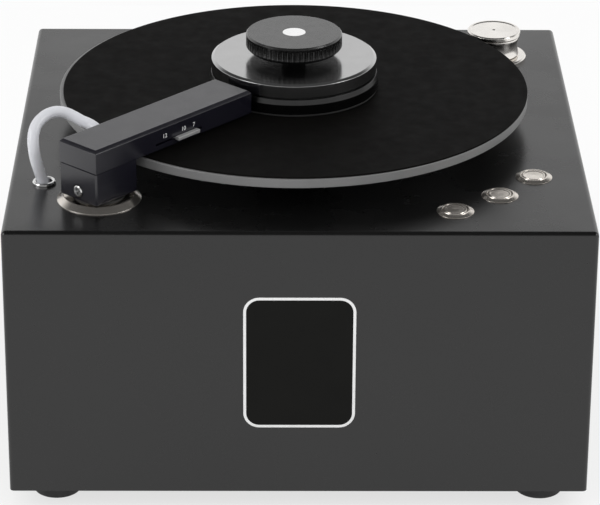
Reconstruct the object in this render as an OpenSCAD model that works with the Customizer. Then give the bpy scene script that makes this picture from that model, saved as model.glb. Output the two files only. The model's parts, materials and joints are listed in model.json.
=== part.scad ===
// Record cleaning machine: a steel cabinet with a belt driven platter, a screw-down
// label clamp, a swinging vacuum arm with its hose, three push buttons and a speed dial.
// Millimetres, +Z up, origin at the centre of the footprint on the floor.

/* [Cabinet] */
// Width of the cabinet, left to right
body_w = 360; // [345:1:440]
// Depth of the cabinet, front to back
body_d = 347; // [335:1:430]
// Height of the cabinet without its feet
body_h = 176.7; // [168:0.1:215]
// Rounding of the cabinet's outer edges
edge_r = 3; // [2:0.5:6]
// Thickness of the side walls
wall = 2; // [1.5:0.1:3]
// Thickness of the deck
deck_t = 3; // [2:0.1:5]
// Thickness of the base plate
base_t = 2; // [1.5:0.1:3]
// Diameter of a foot
foot_d = 30; // [20:1:40]
// Height of a foot
foot_h = 13; // [8:0.5:20]
// Distance from a foot's axis to the cabinet's faces
foot_inset = 28; // [24:0.5:40]
// Diameter of the case screws
case_screw_d = 4; // [3:0.5:5]

/* [Badge] */
// Width of the badge
badge_w = 69; // [50:1:90]
// Height of the badge
badge_h = 89; // [60:1:110]
// Corner radius of the badge
badge_r = 10; // [4:0.5:14]
// Depth of the badge in its pocket
badge_t = 1; // [0.6:0.1:1.2]
// Distance from the deck down to the badge
badge_drop = 43; // [20:1:60]

/* [Platter] */
// Platter axis, left to right
platter_x = -2.8; // [-8:0.1:8]
// Platter axis, front to back
platter_y = 7; // [2:0.1:12]
// Diameter of the platter
platter_d = 303; // [290:1:306]
// Thickness of the platter
platter_t = 5.8; // [4:0.1:7]
// Gap between the deck and the platter
platter_gap = 16.5; // [15:0.1:20]
// Diameter of the mat
mat_d = 300.6; // [280:0.2:302]
// Thickness of the mat
mat_t = 1; // [0.6:0.1:1.4]
// How far the loose mat lies to the right of the axis
mat_shift = 1.1; // [0:0.1:1.2]
// Diameter of the record pin
pin_d = 7.1; // [6.9:0.05:7.2]
// Diameter of the spindle shaft
shaft_d = 12; // [10:0.5:14]
// Diameter of the bearing housing
housing_d = 36; // [30:1:44]
// Running clearance of a shaft or a slide, on the radius
run_gap = 0.05; // [0.02:0.01:0.1]

/* [Belt drive] */
// Diameter of the pulley under the platter
big_pulley_d = 80; // [60:1:90]
// Diameter of the motor pulley
small_pulley_d = 20; // [16:1:24]
// Width of the belt
belt_w = 6; // [4:0.5:8]
// Thickness of the belt
belt_t = 1; // [0.6:0.1:1.5]
// Distance from the spindle to the motor shaft
drive_reach = 88; // [80:1:95]
// Direction from the spindle to the motor shaft, in degrees
drive_angle = -75; // [-90:1:-60]
// Diameter of the drive motor
motor_d = 37; // [30:1:42]

/* [Label clamp] */
// Diameter of the clamp's base
clamp_d = 109.4; // [100:0.2:112]
// Height of the clamp's base with its seal
clamp_base_h = 11.2; // [9:0.1:13]
// Thickness of the sealing ring
seal_t = 1.5; // [1:0.1:2]
// Diameter of the polished label disc
label_d = 106.6; // [96:0.2:108]
// Height of the label disc above the groove
label_h = 8.9; // [7:0.1:10]
// Height of the dark groove
groove_h = 1.1; // [0.6:0.1:1.6]
// Gap between the label disc and the knob
knob_gap = 4.5; // [3:0.1:7]
// Diameter of the knob
knob_d = 62; // [50:0.5:66]
// Height of the knob
knob_h = 11.3; // [10:0.1:14]
// Number of flutes round the knob
flutes = 58; // [24:1:64]
// Diameter of the bright disc in the knob
cap_d = 15; // [10:0.5:20]
// Diameter of the spindle's thread
thread_d = 6; // [5:0.5:6.5]

/* [Vacuum arm] */
// Pivot of the arm, left to right
arm_x = -123.1; // [-130:0.1:-120]
// Pivot of the arm, front to back
arm_y = -122.3; // [-126:0.1:-118]
// Width of the beam
beam_w = 32; // [28:0.5:36]
// Length of the beam ahead of the pivot
beam_front = 119.5; // [110:0.5:120]
// Length of the beam behind the pivot
beam_back = 17.65; // [15:0.05:20]
// Height of the beam
beam_h = 15.25; // [13:0.05:18]
// Height of the beam's underside above the mat
beam_lift = 2.15; // [2:0.05:4]
// Bevel round the beam's top
beam_bevel = 1.75; // [1:0.05:2.5]
// Wall of the beam
beam_wall = 2.5; // [2:0.1:3]
// Thickness of the velvet strips
velvet_t = 0.6; // [0.4:0.1:1]
// Diameter of the arm's column
column_d = 20; // [16:0.5:22]
// Gap between the deck and the arm's block
block_gap = 4.76; // [4.5:0.01:6]
// Diameter of the ring on the deck
ring_d = 52; // [46:0.5:60]
// Height of the ring
ring_h = 3.8; // [3:0.1:4.2]

/* [Size slider] */
// Start of the slot from the pivot
slot_start = 33.6; // [30:0.1:36]
// Length of the slot
slot_len = 40.7; // [38:0.1:44]
// Height of the slot
slot_h = 1.3; // [1:0.1:2]
// Height of the slot's middle above the beam's underside
slot_z = 3.95; // [3.6:0.05:6]
// Length of the slider's tab
tab_len = 19; // [14:0.5:22]
// How far the tab stands out
tab_out = 3.5; // [2:0.1:5]
// Place of the tab's middle from the pivot
tab_mid = 60; // [57:0.5:62]

/* [Hose] */
// Diameter of the suction hose
hose_d = 7.2; // [6:0.1:8]
// Hose socket on the deck, left to right
socket_x = -158.4; // [-160:0.1:-157]
// Hose socket on the deck, front to back
socket_y = -99; // [-101:0.1:-97]
// Outer diameter of the socket's ring
socket_d = 14.7; // [13:0.1:18]
// Height of the socket's ring
socket_h = 2; // [1:0.1:3]
// Place of the hose nipple along the beam
nipple_along = 22; // [20:0.5:24]

/* [Controls] */
// Distance of the buttons and the dial from the platter axis
control_r = 177.4; // [172:0.1:184]
// Direction of the middle button, in degrees
button_angle = -44.6; // [-50:0.1:-40]
// Step between the buttons, in degrees
button_step = 12; // [10:0.5:14]
// Diameter of a button's bezel
bezel_d = 23; // [20:0.5:26]
// Height of a bezel
bezel_h = 1.8; // [1:0.1:3]
// Diameter of a button's cap
button_d = 15; // [12:0.5:16]
// Travel of a button
button_travel = 2; // [1:0.1:3]
// Diameter of a button's threaded body
switch_d = 19; // [18:0.5:20]
// Direction of the dial, in degrees
dial_angle = 39.3; // [36:0.1:42]
// Diameter of the dial's top disc
dial_d = 36; // [30:0.5:40]
// Height of the dial above the deck
dial_h = 20; // [16:0.5:26]
// Diameter of the flange under the dial
flange_d = 44.8; // [40:0.2:50]

/* [Connections] */
// Width of the recess at the back
bay_w = 180; // [160:1:200]
// Height of the recess at the back
bay_h = 50; // [44:1:60]
// Depth of the recess at the back
bay_depth = 28; // [26:0.5:32]
// Height of the recess's middle above the base plate
bay_z = 40; // [36:1:50]
// Distance of the recess's middle to the left of the centre
bay_left = 30; // [20:1:40]
// Diameter of the drain spout
spout_d = 8; // [6:0.5:10]

/* [Inside] */
// Width of the waste tank
tank_w = 126; // [100:1:128]
// Depth of the waste tank
tank_d = 118; // [90:1:120]
// Height of the waste tank
tank_h = 90; // [75:1:96]
// Diameter of the vacuum motor's fan casing
fan_case_d = 104; // [90:1:110]
// Diameter of the suction duct
duct_d = 32; // [26:1:36]

/* [Hidden] */

$fn = 96;
eps = 0.01;
lie_gap = 0.3;

// Levels
deck_z = foot_h + body_h;
under_z = deck_z - deck_t;
floor_z = foot_h + base_t;
inner_w = body_w - 2 * wall;
inner_d = body_d - 2 * wall;
front_y = -body_d / 2;
back_y = body_d / 2;

// Platter levels
platter_z0 = deck_z + platter_gap;
platter_z1 = platter_z0 + platter_t;
mat_z = platter_z1 + mat_t;
hub_d = 60;
hub_z = deck_z + 4.5;
flange_t = 2;
washer_t = 1;
housing_top = hub_z - flange_t - washer_t;
housing_z0 = deck_z - 61.7;
pulley_z0 = housing_z0 - 22;
pulley_h = belt_w + 6;
belt_z = pulley_z0 + (pulley_h - belt_w) / 2;
bush_wall = 3;
bush_len = 18;
shaft_z0 = pulley_z0 - 2;

// Drive
motor_x = platter_x + drive_reach * cos(drive_angle);
motor_y = platter_y + drive_reach * sin(drive_angle);
belt_gap = 0.2;
motor_shaft_d = 6;
plate_t = 3;
plate_z = pulley_z0 + pulley_h + 4;
motor_h = under_z - plate_z - plate_t - 5;

// Clamp levels
seal_z = mat_z;
base_z0 = seal_z + seal_t;
base_z1 = seal_z + clamp_base_h;
disc_z0 = base_z1 + groove_h;
disc_z1 = disc_z0 + label_h;
knob_z0 = disc_z1 + knob_gap;
knob_z1 = knob_z0 + knob_h;
thread_top = knob_z0 + 4;
pin_top = base_z1 - 1;
neck_d = 16;
nut_flange_d = 22;
nut_flange_t = 2.2;
nut_z = base_z1 + 1.3;
pocket_h = nut_flange_t + 1.3 + 0.2;
pocket_d = nut_flange_d + 2;

// Arm
arm_angle = atan2(platter_y - arm_y, platter_x - arm_x);
beam_z0 = mat_z + beam_lift;
beam_z1 = beam_z0 + beam_h;
block_z0 = deck_z + block_gap;
block_len = 2 * beam_back;
column_top = beam_z0 - 3.5;
shoulder_d = 28;
bush_top = deck_z + ring_h - 0.4;
bush_z0 = deck_z - 63.7;
bush_d = 32;
ring_bevel = 3.7;
collar_d = 30;
collar_h = 8;
chamber_x0 = beam_back + 1.35;
chamber_x1 = beam_front - beam_wall;
chamber_w = beam_w - 2 * beam_wall;
roof_z = beam_z1 - beam_wall;
sole_t = 1.6;
sole_gap = 0.05;
slit_w = 1.6;
slit_starts = [27, 51, 90];
slit_ends = [49, 88, 113];
velvet_w = 4;
slide_t = 1;
shutter_x0 = chamber_x0 + tab_mid - tab_len / 2 - slot_start + 0.6;
shutter_x1 = tab_mid + 19;
port_r = 1.2;
nipple_z = beam_z0 + 4.55;
nipple_r = 4.4;
nipple_base = 3;
nipple_tube = 6;
nipple_tilt = 25;
screw_d = 4;
sole_screw_d = 2;
pinch_z = block_z0 + 5.64;
pinch_d = 5;
pinch_head_d = 8;

// Socket
socket_bore = 10;
socket_ledge = deck_z - 3;
socket_body_d = 12;
socket_bottom = deck_z - 16;

// Controls
ring_in_d = 15.5;
ring_out_d = 17.8;
switch_len = 30;
nut_h = 3;
cap_skirt_gap = 0.25;
dial_x = platter_x + control_r * cos(dial_angle);
dial_y = platter_y + control_r * sin(dial_angle);
flange_h = 2.4;
dial_z0 = deck_z + flange_h + 0.3;
dial_shaft_d = 6;

// Recess at the back
bay_x0 = -bay_left - bay_w / 2;
bay_x1 = -bay_left + bay_w / 2;
bay_z0 = floor_z + bay_z - bay_h / 2;
bay_z1 = bay_z0 + bay_h;
bay_mid = (bay_z0 + bay_z1) / 2;
sheet = 1.5;
panel_y = back_y - bay_depth;
bay_lip = 6;
inlet_x = bay_x1 - 27;
switch_x = inlet_x - 42;
valve_x = bay_x0 + 38;
rocker_w = 18;
rocker_h = 26;
rocker_tilt = 8;
rocker_pin_d = 3;
valve_y = panel_y + 9;
tap_len = 15;

// Inside
tank_x0 = -body_w / 2 + wall + 6;
tank_y1 = panel_y - sheet - 6;
tank_y0 = tank_y1 - tank_d;
tank_wall = 2.5;
tank_in_z = floor_z + tank_h - 8;
fan_x = 100;
fan_y = 88;
fan_z0 = floor_z + 80;
fan_h = 30;
collar_z = fan_z0 + fan_h + 8;
port_x = tank_x0 + tank_w - 42;
port_y = fan_y;
duct_z = floor_z + 140;

// Free route of the suction hose, heights above the deck, from the socket to the nipple
hose_points = [[-158.4, -99, -3], [-159.5, -99.6, 2.4], [-160.8, -100.6, 7.8],
  [-162.1, -101.7, 13.1], [-163.2, -102.4, 18.5], [-163.9, -102.5, 24],
  [-164.3, -101, 29.4], [-163.8, -98.1, 34.1], [-162, -94.2, 37.7], [-159, -90.2, 40],
  [-155.1, -86.5, 41.4], [-150.2, -83.8, 41.6], [-145, -82.4, 40.2], [-140, -82.6, 37.9],
  [-135.1, -84.1, 35.6], [-130.2, -86.3, 34.3]];

// Held route of the hose under the deck, as steps back from the socket and heights
tank_hose_steps = [[0, 156], [0.5, 145], [3, 134], [9, 124], [18, 115], [31, 107], [48, 101],
  [68, 98], [88, 97]];

// Small vector helpers
function unit(v) = v / norm(v);

// Tangent at point i of a route
function tangent(p, i) =
  let (last = len(p) - 1)
  i == 0 ? unit(p[1] - p[0])
  : i == last ? unit(p[last] - p[last - 1])
  : unit(p[i + 1] - p[i - 1]);

// One ring of a tube, square to the direction t, with side as a rough sideways direction
function ring_at(c, t, side, r, n) =
  let (a = unit(cross(t, side)), b = cross(t, a))
  [for (k = [0 : n - 1]) c + r * (cos(360 * k / n) * a + sin(360 * k / n) * b)];

// Faces of a tube made of m rings of n points
function tube_faces(m, n) = concat(
  [[for (k = [0 : n - 1]) k]],
  [for (i = [0 : m - 2]) for (k = [0 : n - 1])
    [i * n + k, (i + 1) * n + k, (i + 1) * n + (k + 1) % n]],
  [for (i = [0 : m - 2]) for (k = [0 : n - 1])
    [i * n + k, (i + 1) * n + (k + 1) % n, i * n + (k + 1) % n]],
  [[for (k = [0 : n - 1]) (m - 1) * n + n - 1 - k]]);

// Solid tube along a route; dir0 and dir1 set the directions of its two ends
module tube(p, r, n, side, dir0, dir1) {
  last = len(p) - 1;
  rings = [for (i = [0 : last]) ring_at(p[i],
    i == 0 ? dir0 : i == last ? dir1 : tangent(p, i), side, r, n)];
  points = [for (g = rings) each g];
  polyhedron(points, tube_faces(last + 1, n), convexity = 6);
}

// Rounded rectangle with true arcs, centred
module round_rect(w, h, r) {
  square([w - 2 * r, h], center = true);
  square([w, h - 2 * r], center = true);
  for (x = [-1, 1], y = [-1, 1])
    translate([x * (w / 2 - r), y * (h / 2 - r)]) circle(r);
}

// Box from two corners
module box(a, b) {
  translate(a) cube(b - a);
}

// Cylinder between two heights
module rod(d, z0, z1) {
  translate([0, 0, z0]) cylinder(d = d, h = z1 - z0);
}

// Ring between two heights
module tube_ring(d_out, d_in, z0, z1) {
  difference() {
    rod(d_out, z0, z1);
    rod(d_in, z0 - 1, z1 + 1);
  }
}

module at_platter() { translate([platter_x, platter_y, 0]) children(); }
module at_motor() { translate([motor_x, motor_y, 0]) children(); }
module at_fan() { translate([fan_x, fan_y, 0]) children(); }
module at_dial() { translate([dial_x, dial_y, 0]) children(); }
module at_socket() { translate([socket_x, socket_y, 0]) children(); }
module at_pivot() { translate([arm_x, arm_y, 0]) children(); }

// Arm frame: X runs along the beam from the pivot, Y to its left
module at_arm() { translate([arm_x, arm_y, 0]) rotate([0, 0, arm_angle]) children(); }

// Centre of button i, counted from the front
function button_at(i) =
  let (a = button_angle + (i - 2) * button_step)
  [platter_x + control_r * cos(a), platter_y + control_r * sin(a), 0];

module at_buttons() { for (i = [1 : 3]) translate(button_at(i)) children(); }

module at_corners(inset) {
  for (x = [-1, 1], y = [-1, 1])
    translate([x * (body_w / 2 - inset), y * (body_d / 2 - inset), 0]) children();
}

corner_post = 14;
corner_inset = wall + corner_post / 2;
post_h = 14;
boss_d = 10;
boss_h = 4;

// Cabinet: one welded shell, open below and at the recess window
module cabinet_shell() {
  hull() {
    for (x = [-1, 1], y = [-1, 1])
      translate([x * (body_w / 2 - edge_r), y * (body_d / 2 - edge_r), 0]) {
        translate([0, 0, foot_h]) cylinder(r = edge_r, h = 1, $fn = 32);
        translate([0, 0, deck_z - edge_r]) sphere(edge_r, $fn = 32);
      }
  }
}

vent_count = 7;
vent_pitch = 9;
vent_w = 3;
vent_h = 34;

module cabinet() {
  color("#3a3a3c") difference() {
    union() {
      difference() {
        cabinet_shell();
        box([-inner_w / 2, -inner_d / 2, foot_h - 1], [inner_w / 2, inner_d / 2, under_z]);
      }
      at_corners(corner_inset) translate([-corner_post / 2, -corner_post / 2, floor_z])
        cube([corner_post, corner_post, post_h]);
    }
    at_corners(corner_inset) rod(case_screw_d + 2 * run_gap, foot_h - 1, floor_z + post_h - 2);
    at_platter() rod(housing_d + 2 * run_gap, under_z - 1, deck_z + 1);
    at_pivot() rod(bush_d + 2 * run_gap, under_z - 1, deck_z + 1);
    at_socket() rod(socket_body_d + 2 * run_gap, under_z - 1, deck_z + 1);
    at_buttons() rod(switch_d + 2 * run_gap, under_z - 1, deck_z + 1);
    at_dial() rod(9 + 2 * run_gap, under_z - 1, deck_z + 1);
    translate([0, front_y - 1, deck_z - badge_drop - badge_h / 2]) rotate([-90, 0, 0])
      linear_extrude(badge_t + 1) round_rect(badge_w, badge_h, badge_r);
    box([bay_x0, back_y - wall - 1, bay_z0], [bay_x1, back_y + 1, bay_z1]);
    for (i = [0 : vent_count - 1])
      translate([fan_x + (i - (vent_count - 1) / 2) * vent_pitch, back_y - wall - 1, fan_z0])
        cube([vent_w, wall + 2, vent_h]);
  }
}

slot_rows = 4;
slot_cols = 9;

module base_plate() {
  color("#2c2c2e") difference() {
    union() {
      box([-inner_w / 2 + lie_gap, -inner_d / 2 + lie_gap, foot_h],
        [inner_w / 2 - lie_gap, inner_d / 2 - lie_gap, floor_z]);
      at_corners(foot_inset) rod(boss_d, floor_z - eps, floor_z + boss_h);
    }
    at_corners(corner_inset) {
      rod(case_screw_d + 2 * run_gap, foot_h - 1, floor_z + 1);
      sink_cone(run_gap);
    }
    at_corners(foot_inset) rod(5 + 2 * run_gap, foot_h - 1, floor_z + boss_h + 1);
    for (i = [0 : slot_rows - 1], j = [0 : slot_cols - 1])
      translate([-20 + j * 9, -60 + i * 34, foot_h - 1]) cube([3, 26, base_t + 2]);
  }
}

// Countersink of a case screw, flush with the base plate
module sink_cone(gap) {
  translate([0, 0, foot_h]) cylinder(d1 = 1.9 * case_screw_d + 2 * gap,
    d2 = case_screw_d + 2 * gap, h = base_t - 0.2);
}

module case_screws() {
  color("#8a8a8c") at_corners(corner_inset) {
    rod(case_screw_d, foot_h, floor_z + post_h - 3);
    sink_cone(0);
  }
}

foot_recess_d = 12;
foot_recess_h = 6;

module feet() {
  color("#151516") at_corners(foot_inset) rotate_extrude()
    polygon([[2.5 + run_gap, foot_recess_h], [foot_recess_d / 2, foot_recess_h],
      [foot_recess_d / 2, 0], [foot_d / 2 - 1, 0], [foot_d / 2, 1], [foot_d / 2, foot_h],
      [2.5 + run_gap, foot_h]]);
}

module foot_screws() {
  color("#8a8a8c") at_corners(foot_inset) {
    rod(5, foot_recess_h, floor_z + boss_h + 1);
    rod(9.5, foot_recess_h - 3, foot_recess_h);
  }
}

module badge_plate() {
  color("#101011") translate([0, front_y, deck_z - badge_drop - badge_h / 2])
    rotate([-90, 0, 0]) linear_extrude(badge_t)
    round_rect(badge_w - 2 * run_gap, badge_h - 2 * run_gap, badge_r - run_gap);
}

// Recess at the back: a folded tray with a lip behind the cabinet's wall
module rear_bay() {
  lip_y = back_y - wall;
  color("#2c2c2e") difference() {
    union() {
      box([bay_x0 - bay_lip, lip_y - sheet, bay_z0 - bay_lip],
        [bay_x1 + bay_lip, lip_y, bay_z1 + bay_lip]);
      box([bay_x0 - sheet, panel_y - sheet, bay_z0 - sheet],
        [bay_x1 + sheet, lip_y, bay_z1 + sheet]);
    }
    box([bay_x0, panel_y, bay_z0], [bay_x1, back_y, bay_z1]);
    translate([inlet_x, panel_y, bay_mid]) box([-14.2, -5, -10.2], [14.2, 1, 10.2]);
    translate([switch_x, panel_y, bay_mid])
      box([-rocker_w / 2 - 1.2, -5, -rocker_h / 2 - 1.2],
        [rocker_w / 2 + 1.2, 1, rocker_h / 2 + 1.2]);
    translate([valve_x, panel_y + 1, bay_mid]) rotate([90, 0, 0])
      cylinder(d = 14 + 2 * run_gap, h = 6);
  }
}

module mains_inlet() {
  color("#1a1a1b") translate([inlet_x, panel_y, bay_mid]) {
    difference() {
      union() {
        box([-24, 0, -12], [24, 2.5, 12]);
        box([-14, -18, -10], [14, 1, 10]);
      }
      box([-12, -14, -8], [12, 4, 8]);
      for (x = [-1, 1]) translate([x * 19, 4, 0]) rotate([90, 0, 0]) cylinder(d = 3.2, h = 6);
    }
    for (p = [[-7, -2], [0, 3], [7, -2]]) translate([p[0], 0, p[1]])
      box([-1, -14 - eps, -2.5], [1, -6, 2.5]);
  }
}

module switch_frame() {
  w = rocker_w / 2;
  h = rocker_h / 2;
  color("#1a1a1b") translate([switch_x, panel_y, bay_mid]) difference() {
    union() {
      box([-w - 3, 0, -h - 3], [w + 3, 2.5, h + 3]);
      box([-w - 1, -20, -h - 1], [w + 1, 1, h + 1]);
    }
    box([-w - 0.2, -14, -h - 0.3], [w + 0.2, 4, h + 0.3]);
    rotate([0, 90, 0]) translate([0, 0, -w - 1.5])
      cylinder(d = rocker_pin_d + 2 * run_gap, h = rocker_w + 3);
  }
}

// Rocker, drawn tilted to its off side; it turns on two pins in the frame's side walls
module power_rocker() {
  color("#b02020") translate([switch_x, panel_y, bay_mid]) {
    rotate([rocker_tilt, 0, 0])
      rotate([90, 0, 90]) translate([0, 0, -rocker_w / 2]) linear_extrude(rocker_w)
      polygon([[-8, -5], [-8, 5], [-3, 12], [3.5, 12], [2.4, 0], [3.5, -12], [-3, -12]]);
    rotate([0, 90, 0]) translate([0, 0, -rocker_w / 2 - 0.7])
      cylinder(d = rocker_pin_d, h = rocker_w + 1.4);
  }
}

module drain_valve() {
  color("#b8a060") translate([valve_x, 0, bay_mid]) {
    rotate([-90, 0, 0]) translate([0, 0, tank_y1]) cylinder(d = 14, h = panel_y + 3 - tank_y1);
    difference() {
      union() {
        box([-8, panel_y + 2, -8], [8, panel_y + 16, 8]);
        rotate([-90, 0, 0]) translate([0, 0, panel_y + 16 - eps]) cylinder(d = spout_d, h = 10);
      }
      rotate([-90, 0, 0]) translate([0, 0, panel_y + 12]) cylinder(d = spout_d - 3, h = 20);
      translate([0, valve_y, 2]) cylinder(d = 5 + 2 * run_gap, h = 10);
    }
  }
}

module drain_tap() {
  color("#303033") translate([valve_x, valve_y, bay_mid]) {
    rod(5, 2.2, 9);
    rod(9, 8.3, 12);
    box([0, -2.5, 8.8], [tap_len - 2.5, 2.5, 11.5]);
    translate([tap_len - 2.5, 0, 0]) rod(5, 8.8, 11.5);
  }
}

module platter() {
  color("#9a9a9c") at_platter() difference() {
    union() {
      rod(platter_d, platter_z0, platter_z1);
      rod(hub_d, hub_z, platter_z0 + 1);
    }
    rod(16 + 2 * run_gap, hub_z - 1, platter_z1 + 1);
  }
}

module platter_mat() {
  color("#1c1a19") translate([platter_x + mat_shift, platter_y, 0])
    tube_ring(mat_d, pin_d + 2 * mat_shift + 0.4, platter_z1, mat_z);
}

// Spindle: shaft, thrust flange, hub seat, record pin and clamp thread turned in one piece
module spindle() {
  color("#c8c8ca") at_platter() rotate_extrude() polygon([[0, shaft_z0],
    [shaft_d / 2, shaft_z0], [shaft_d / 2, hub_z - flange_t], [22, hub_z - flange_t],
    [22, hub_z], [8, hub_z], [8, platter_z1], [pin_d / 2, platter_z1], [pin_d / 2, pin_top],
    [thread_d / 2, pin_top + 0.5], [thread_d / 2, thread_top - 1],
    [thread_d / 2 - 1, thread_top], [0, thread_top]]);
}

module bearing_housing() {
  color("#77787a") at_platter() difference() {
    union() {
      rod(housing_d, housing_z0, housing_top);
      rod(housing_d + 34, under_z - 5, under_z);
    }
    rod(shaft_d + 2 * bush_wall + 0.04, housing_z0 - 1, housing_top + 1);
  }
}

module bearing_bushes() {
  color("#b08840") at_platter() {
    tube_ring(shaft_d + 2 * bush_wall, shaft_d + 2 * run_gap, housing_z0,
      housing_z0 + bush_len);
    tube_ring(shaft_d + 2 * bush_wall, shaft_d + 2 * run_gap, housing_top - bush_len,
      housing_top);
  }
}

module thrust_washer() {
  color("#e8e6df") at_platter()
    tube_ring(30, shaft_d + 2 * run_gap, housing_top, housing_top + washer_t);
}

module platter_pulley() {
  r = big_pulley_d / 2;
  color("#303033") at_platter() difference() {
    union() {
      rod(big_pulley_d, pulley_z0, pulley_z0 + pulley_h);
      rod(24, pulley_z0 - 1, pulley_z0 + pulley_h + 4);
    }
    translate([0, 0, pulley_z0 + 4]) tube_ring(2 * r - 8, 24, 0, pulley_h);
    for (a = [0 : 60 : 359]) rotate([0, 0, a]) translate([(r - 4 + 12) / 2, 0, 0])
      rod(12, pulley_z0 - 1, pulley_z0 + 5);
    rod(shaft_d + 0.02, pulley_z0 - 2, pulley_z0 + pulley_h + 5);
  }
}

// Outline of a belt round two pulleys, r1 at the origin and r2 at reach along X
function belt_loop(r1, r2, reach) =
  let (turn = acos((r1 - r2) / reach), step = 4)
  concat([for (a = [turn : step : 360 - turn]) r1 * [cos(a), sin(a)]],
    [for (a = [-turn : step : turn]) [reach, 0] + r2 * [cos(a), sin(a)]]);

module drive_belt() {
  r1 = big_pulley_d / 2 + belt_gap;
  r2 = small_pulley_d / 2 + belt_gap;
  color("#141414") at_platter() rotate([0, 0, drive_angle]) translate([0, 0, belt_z])
    linear_extrude(belt_w) difference() {
      polygon(belt_loop(r1 + belt_t, r2 + belt_t, drive_reach));
      polygon(belt_loop(r1, r2, drive_reach));
    }
}

module drive_motor() {
  z0 = plate_z + plate_t;
  color("#8f9092") at_motor() difference() {
    union() {
      rod(motor_d, z0, z0 + motor_h);
      rod(12, plate_z, z0 + eps);
      for (x = [-6, 6]) translate([x, 0, 0]) rod(2, z0 + motor_h - eps, z0 + motor_h + 3);
    }
    rod(motor_shaft_d + 2 * run_gap, plate_z - 1, plate_z + 20);
  }
}

module motor_bracket() {
  side = 60;
  color("#a5a6a8") at_motor() difference() {
    union() {
      box([-side / 2, -side / 2, plate_z], [side / 2, side / 2, plate_z + plate_t]);
      for (x = [-1, 1], y = [-1, 1]) translate([x * 25, y * 25, 0])
        rod(8, plate_z + plate_t - eps, under_z);
    }
    rod(12 + 2 * run_gap, plate_z - 1, plate_z + plate_t + 1);
  }
}

module motor_pulley() {
  color("#c0a050") at_motor() {
    rod(motor_shaft_d, pulley_z0 - 1, plate_z + 19);
    rod(small_pulley_d, pulley_z0, pulley_z0 + pulley_h);
    for (z = [pulley_z0 - 1, pulley_z0 + pulley_h]) rod(small_pulley_d + 4, z, z + 1);
  }
}

clamp_bevel = 1.2;

module clamp_base() {
  r = clamp_d / 2;
  color("#3a3b3d") at_platter() rotate_extrude() polygon([[pin_d / 2 + run_gap, base_z0],
    [14, base_z0], [14, base_z0 + 4], [r - 10, base_z0 + 4], [r - 10, base_z0],
    [r, base_z0], [r, base_z1 - 3.2], [r - clamp_bevel, base_z1], [pocket_d / 2, base_z1],
    [pocket_d / 2, base_z1 - 2], [pin_d / 2 + run_gap, base_z1 - 2]]);
}

module label_disc() {
  r = label_d / 2;
  color("#d0d0d2") at_platter() rotate_extrude() polygon([[pocket_d / 2, base_z1],
    [r - 3.3, base_z1], [r - 3.3, disc_z0], [r, disc_z0], [r, disc_z1 - 1.1],
    [r - 1.8, disc_z1], [neck_d / 2 + run_gap, disc_z1],
    [neck_d / 2 + run_gap, base_z1 + pocket_h], [pocket_d / 2, base_z1 + pocket_h]]);
}

module clamp_seal() {
  color("#101010") at_platter() tube_ring(clamp_d - 1, clamp_d - 16, seal_z, base_z0);
}

flute_r = 1.25;
knob_round = 2.5;

module clamp_knob() {
  r = knob_d / 2;
  top = knob_z1;
  color("#2a2a2c") at_platter() difference() {
    rotate_extrude() polygon([[0, nut_z + nut_flange_t], [neck_d / 2, nut_z + nut_flange_t],
      [neck_d / 2, knob_z0], [r - knob_round, knob_z0], [r, knob_z0 + knob_round],
      [r, top - 1], [r - 1, top], [0, top]]);
    for (i = [0 : flutes - 1]) rotate([0, 0, i * 360 / flutes]) translate([r + 0.35, 0, 0])
      rod(2 * flute_r, knob_z0 - 1, top - 2);
    rod(10, nut_z, top);
    rod(cap_d, top - 1, top + 1);
  }
}

module knob_cap() {
  color("#f0f0f2") at_platter() {
    rod(cap_d - 0.1, knob_z1 - 1, knob_z1);
    rod(9.9, knob_z1 - 2, knob_z1 - 1 + eps);
  }
}

module clamp_nut() {
  color("#c0a050") at_platter() difference() {
    union() {
      rod(nut_flange_d, nut_z, nut_z + nut_flange_t);
      rod(9.98, nut_z + nut_flange_t - eps, knob_z1 - 2.5);
    }
    rod(thread_d + 2 * run_gap, nut_z - 1, knob_z1 - 4.5);
  }
}

// Beam: a milled channel with its top edges bevelled all round
module arm_beam() {
  b = beam_bevel;
  w = beam_w / 2;
  color("#2e2e31") at_arm() difference() {
    intersection() {
      rotate([90, 0, 0]) translate([0, 0, -w]) linear_extrude(beam_w)
        polygon([[-beam_back, beam_z0], [beam_front, beam_z0], [beam_front, beam_z1 - b],
          [beam_front - b, beam_z1], [b - beam_back, beam_z1], [-beam_back, beam_z1 - b]]);
      rotate([90, 0, 90]) translate([0, 0, -beam_back]) linear_extrude(beam_back + beam_front)
        polygon([[-w, beam_z0], [w, beam_z0], [w, beam_z1 - b], [w - b, beam_z1],
          [b - w, beam_z1], [-w, beam_z1 - b]]);
    }
    box([chamber_x0, -chamber_w / 2, beam_z0 - 1], [chamber_x1, chamber_w / 2, roof_z]);
    box([slot_start, -w - 1, beam_z0 + slot_z - slot_h / 2],
      [slot_start + slot_len, -w + beam_wall + 1, beam_z0 + slot_z + slot_h / 2]);
    translate([nipple_along, 0, nipple_z]) rotate([-90, 0, 0]) cylinder(d = 4, h = w + 1);
    block_screw_places() rod(screw_d + 2 * run_gap, beam_z0 - 1, beam_z0 + 8);
  }
  color("#2e2e31") at_arm() sole_screw_places()
    tube_ring(5, sole_screw_d + 2 * run_gap, beam_z0 + sole_t, roof_z + 0.5);
}

module sole_screw_places() {
  for (x = [slit_starts[0] + 1, chamber_x1 - 4]) for (y = [-1, 1])
    translate([x, y * 8, 0]) children();
}

module block_screw_places() {
  for (x = [-1, 1], y = [-1, 1])
    translate([x * (beam_back - 4.8), y * (beam_w / 2 - 4.4), 0]) children();
}

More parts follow.
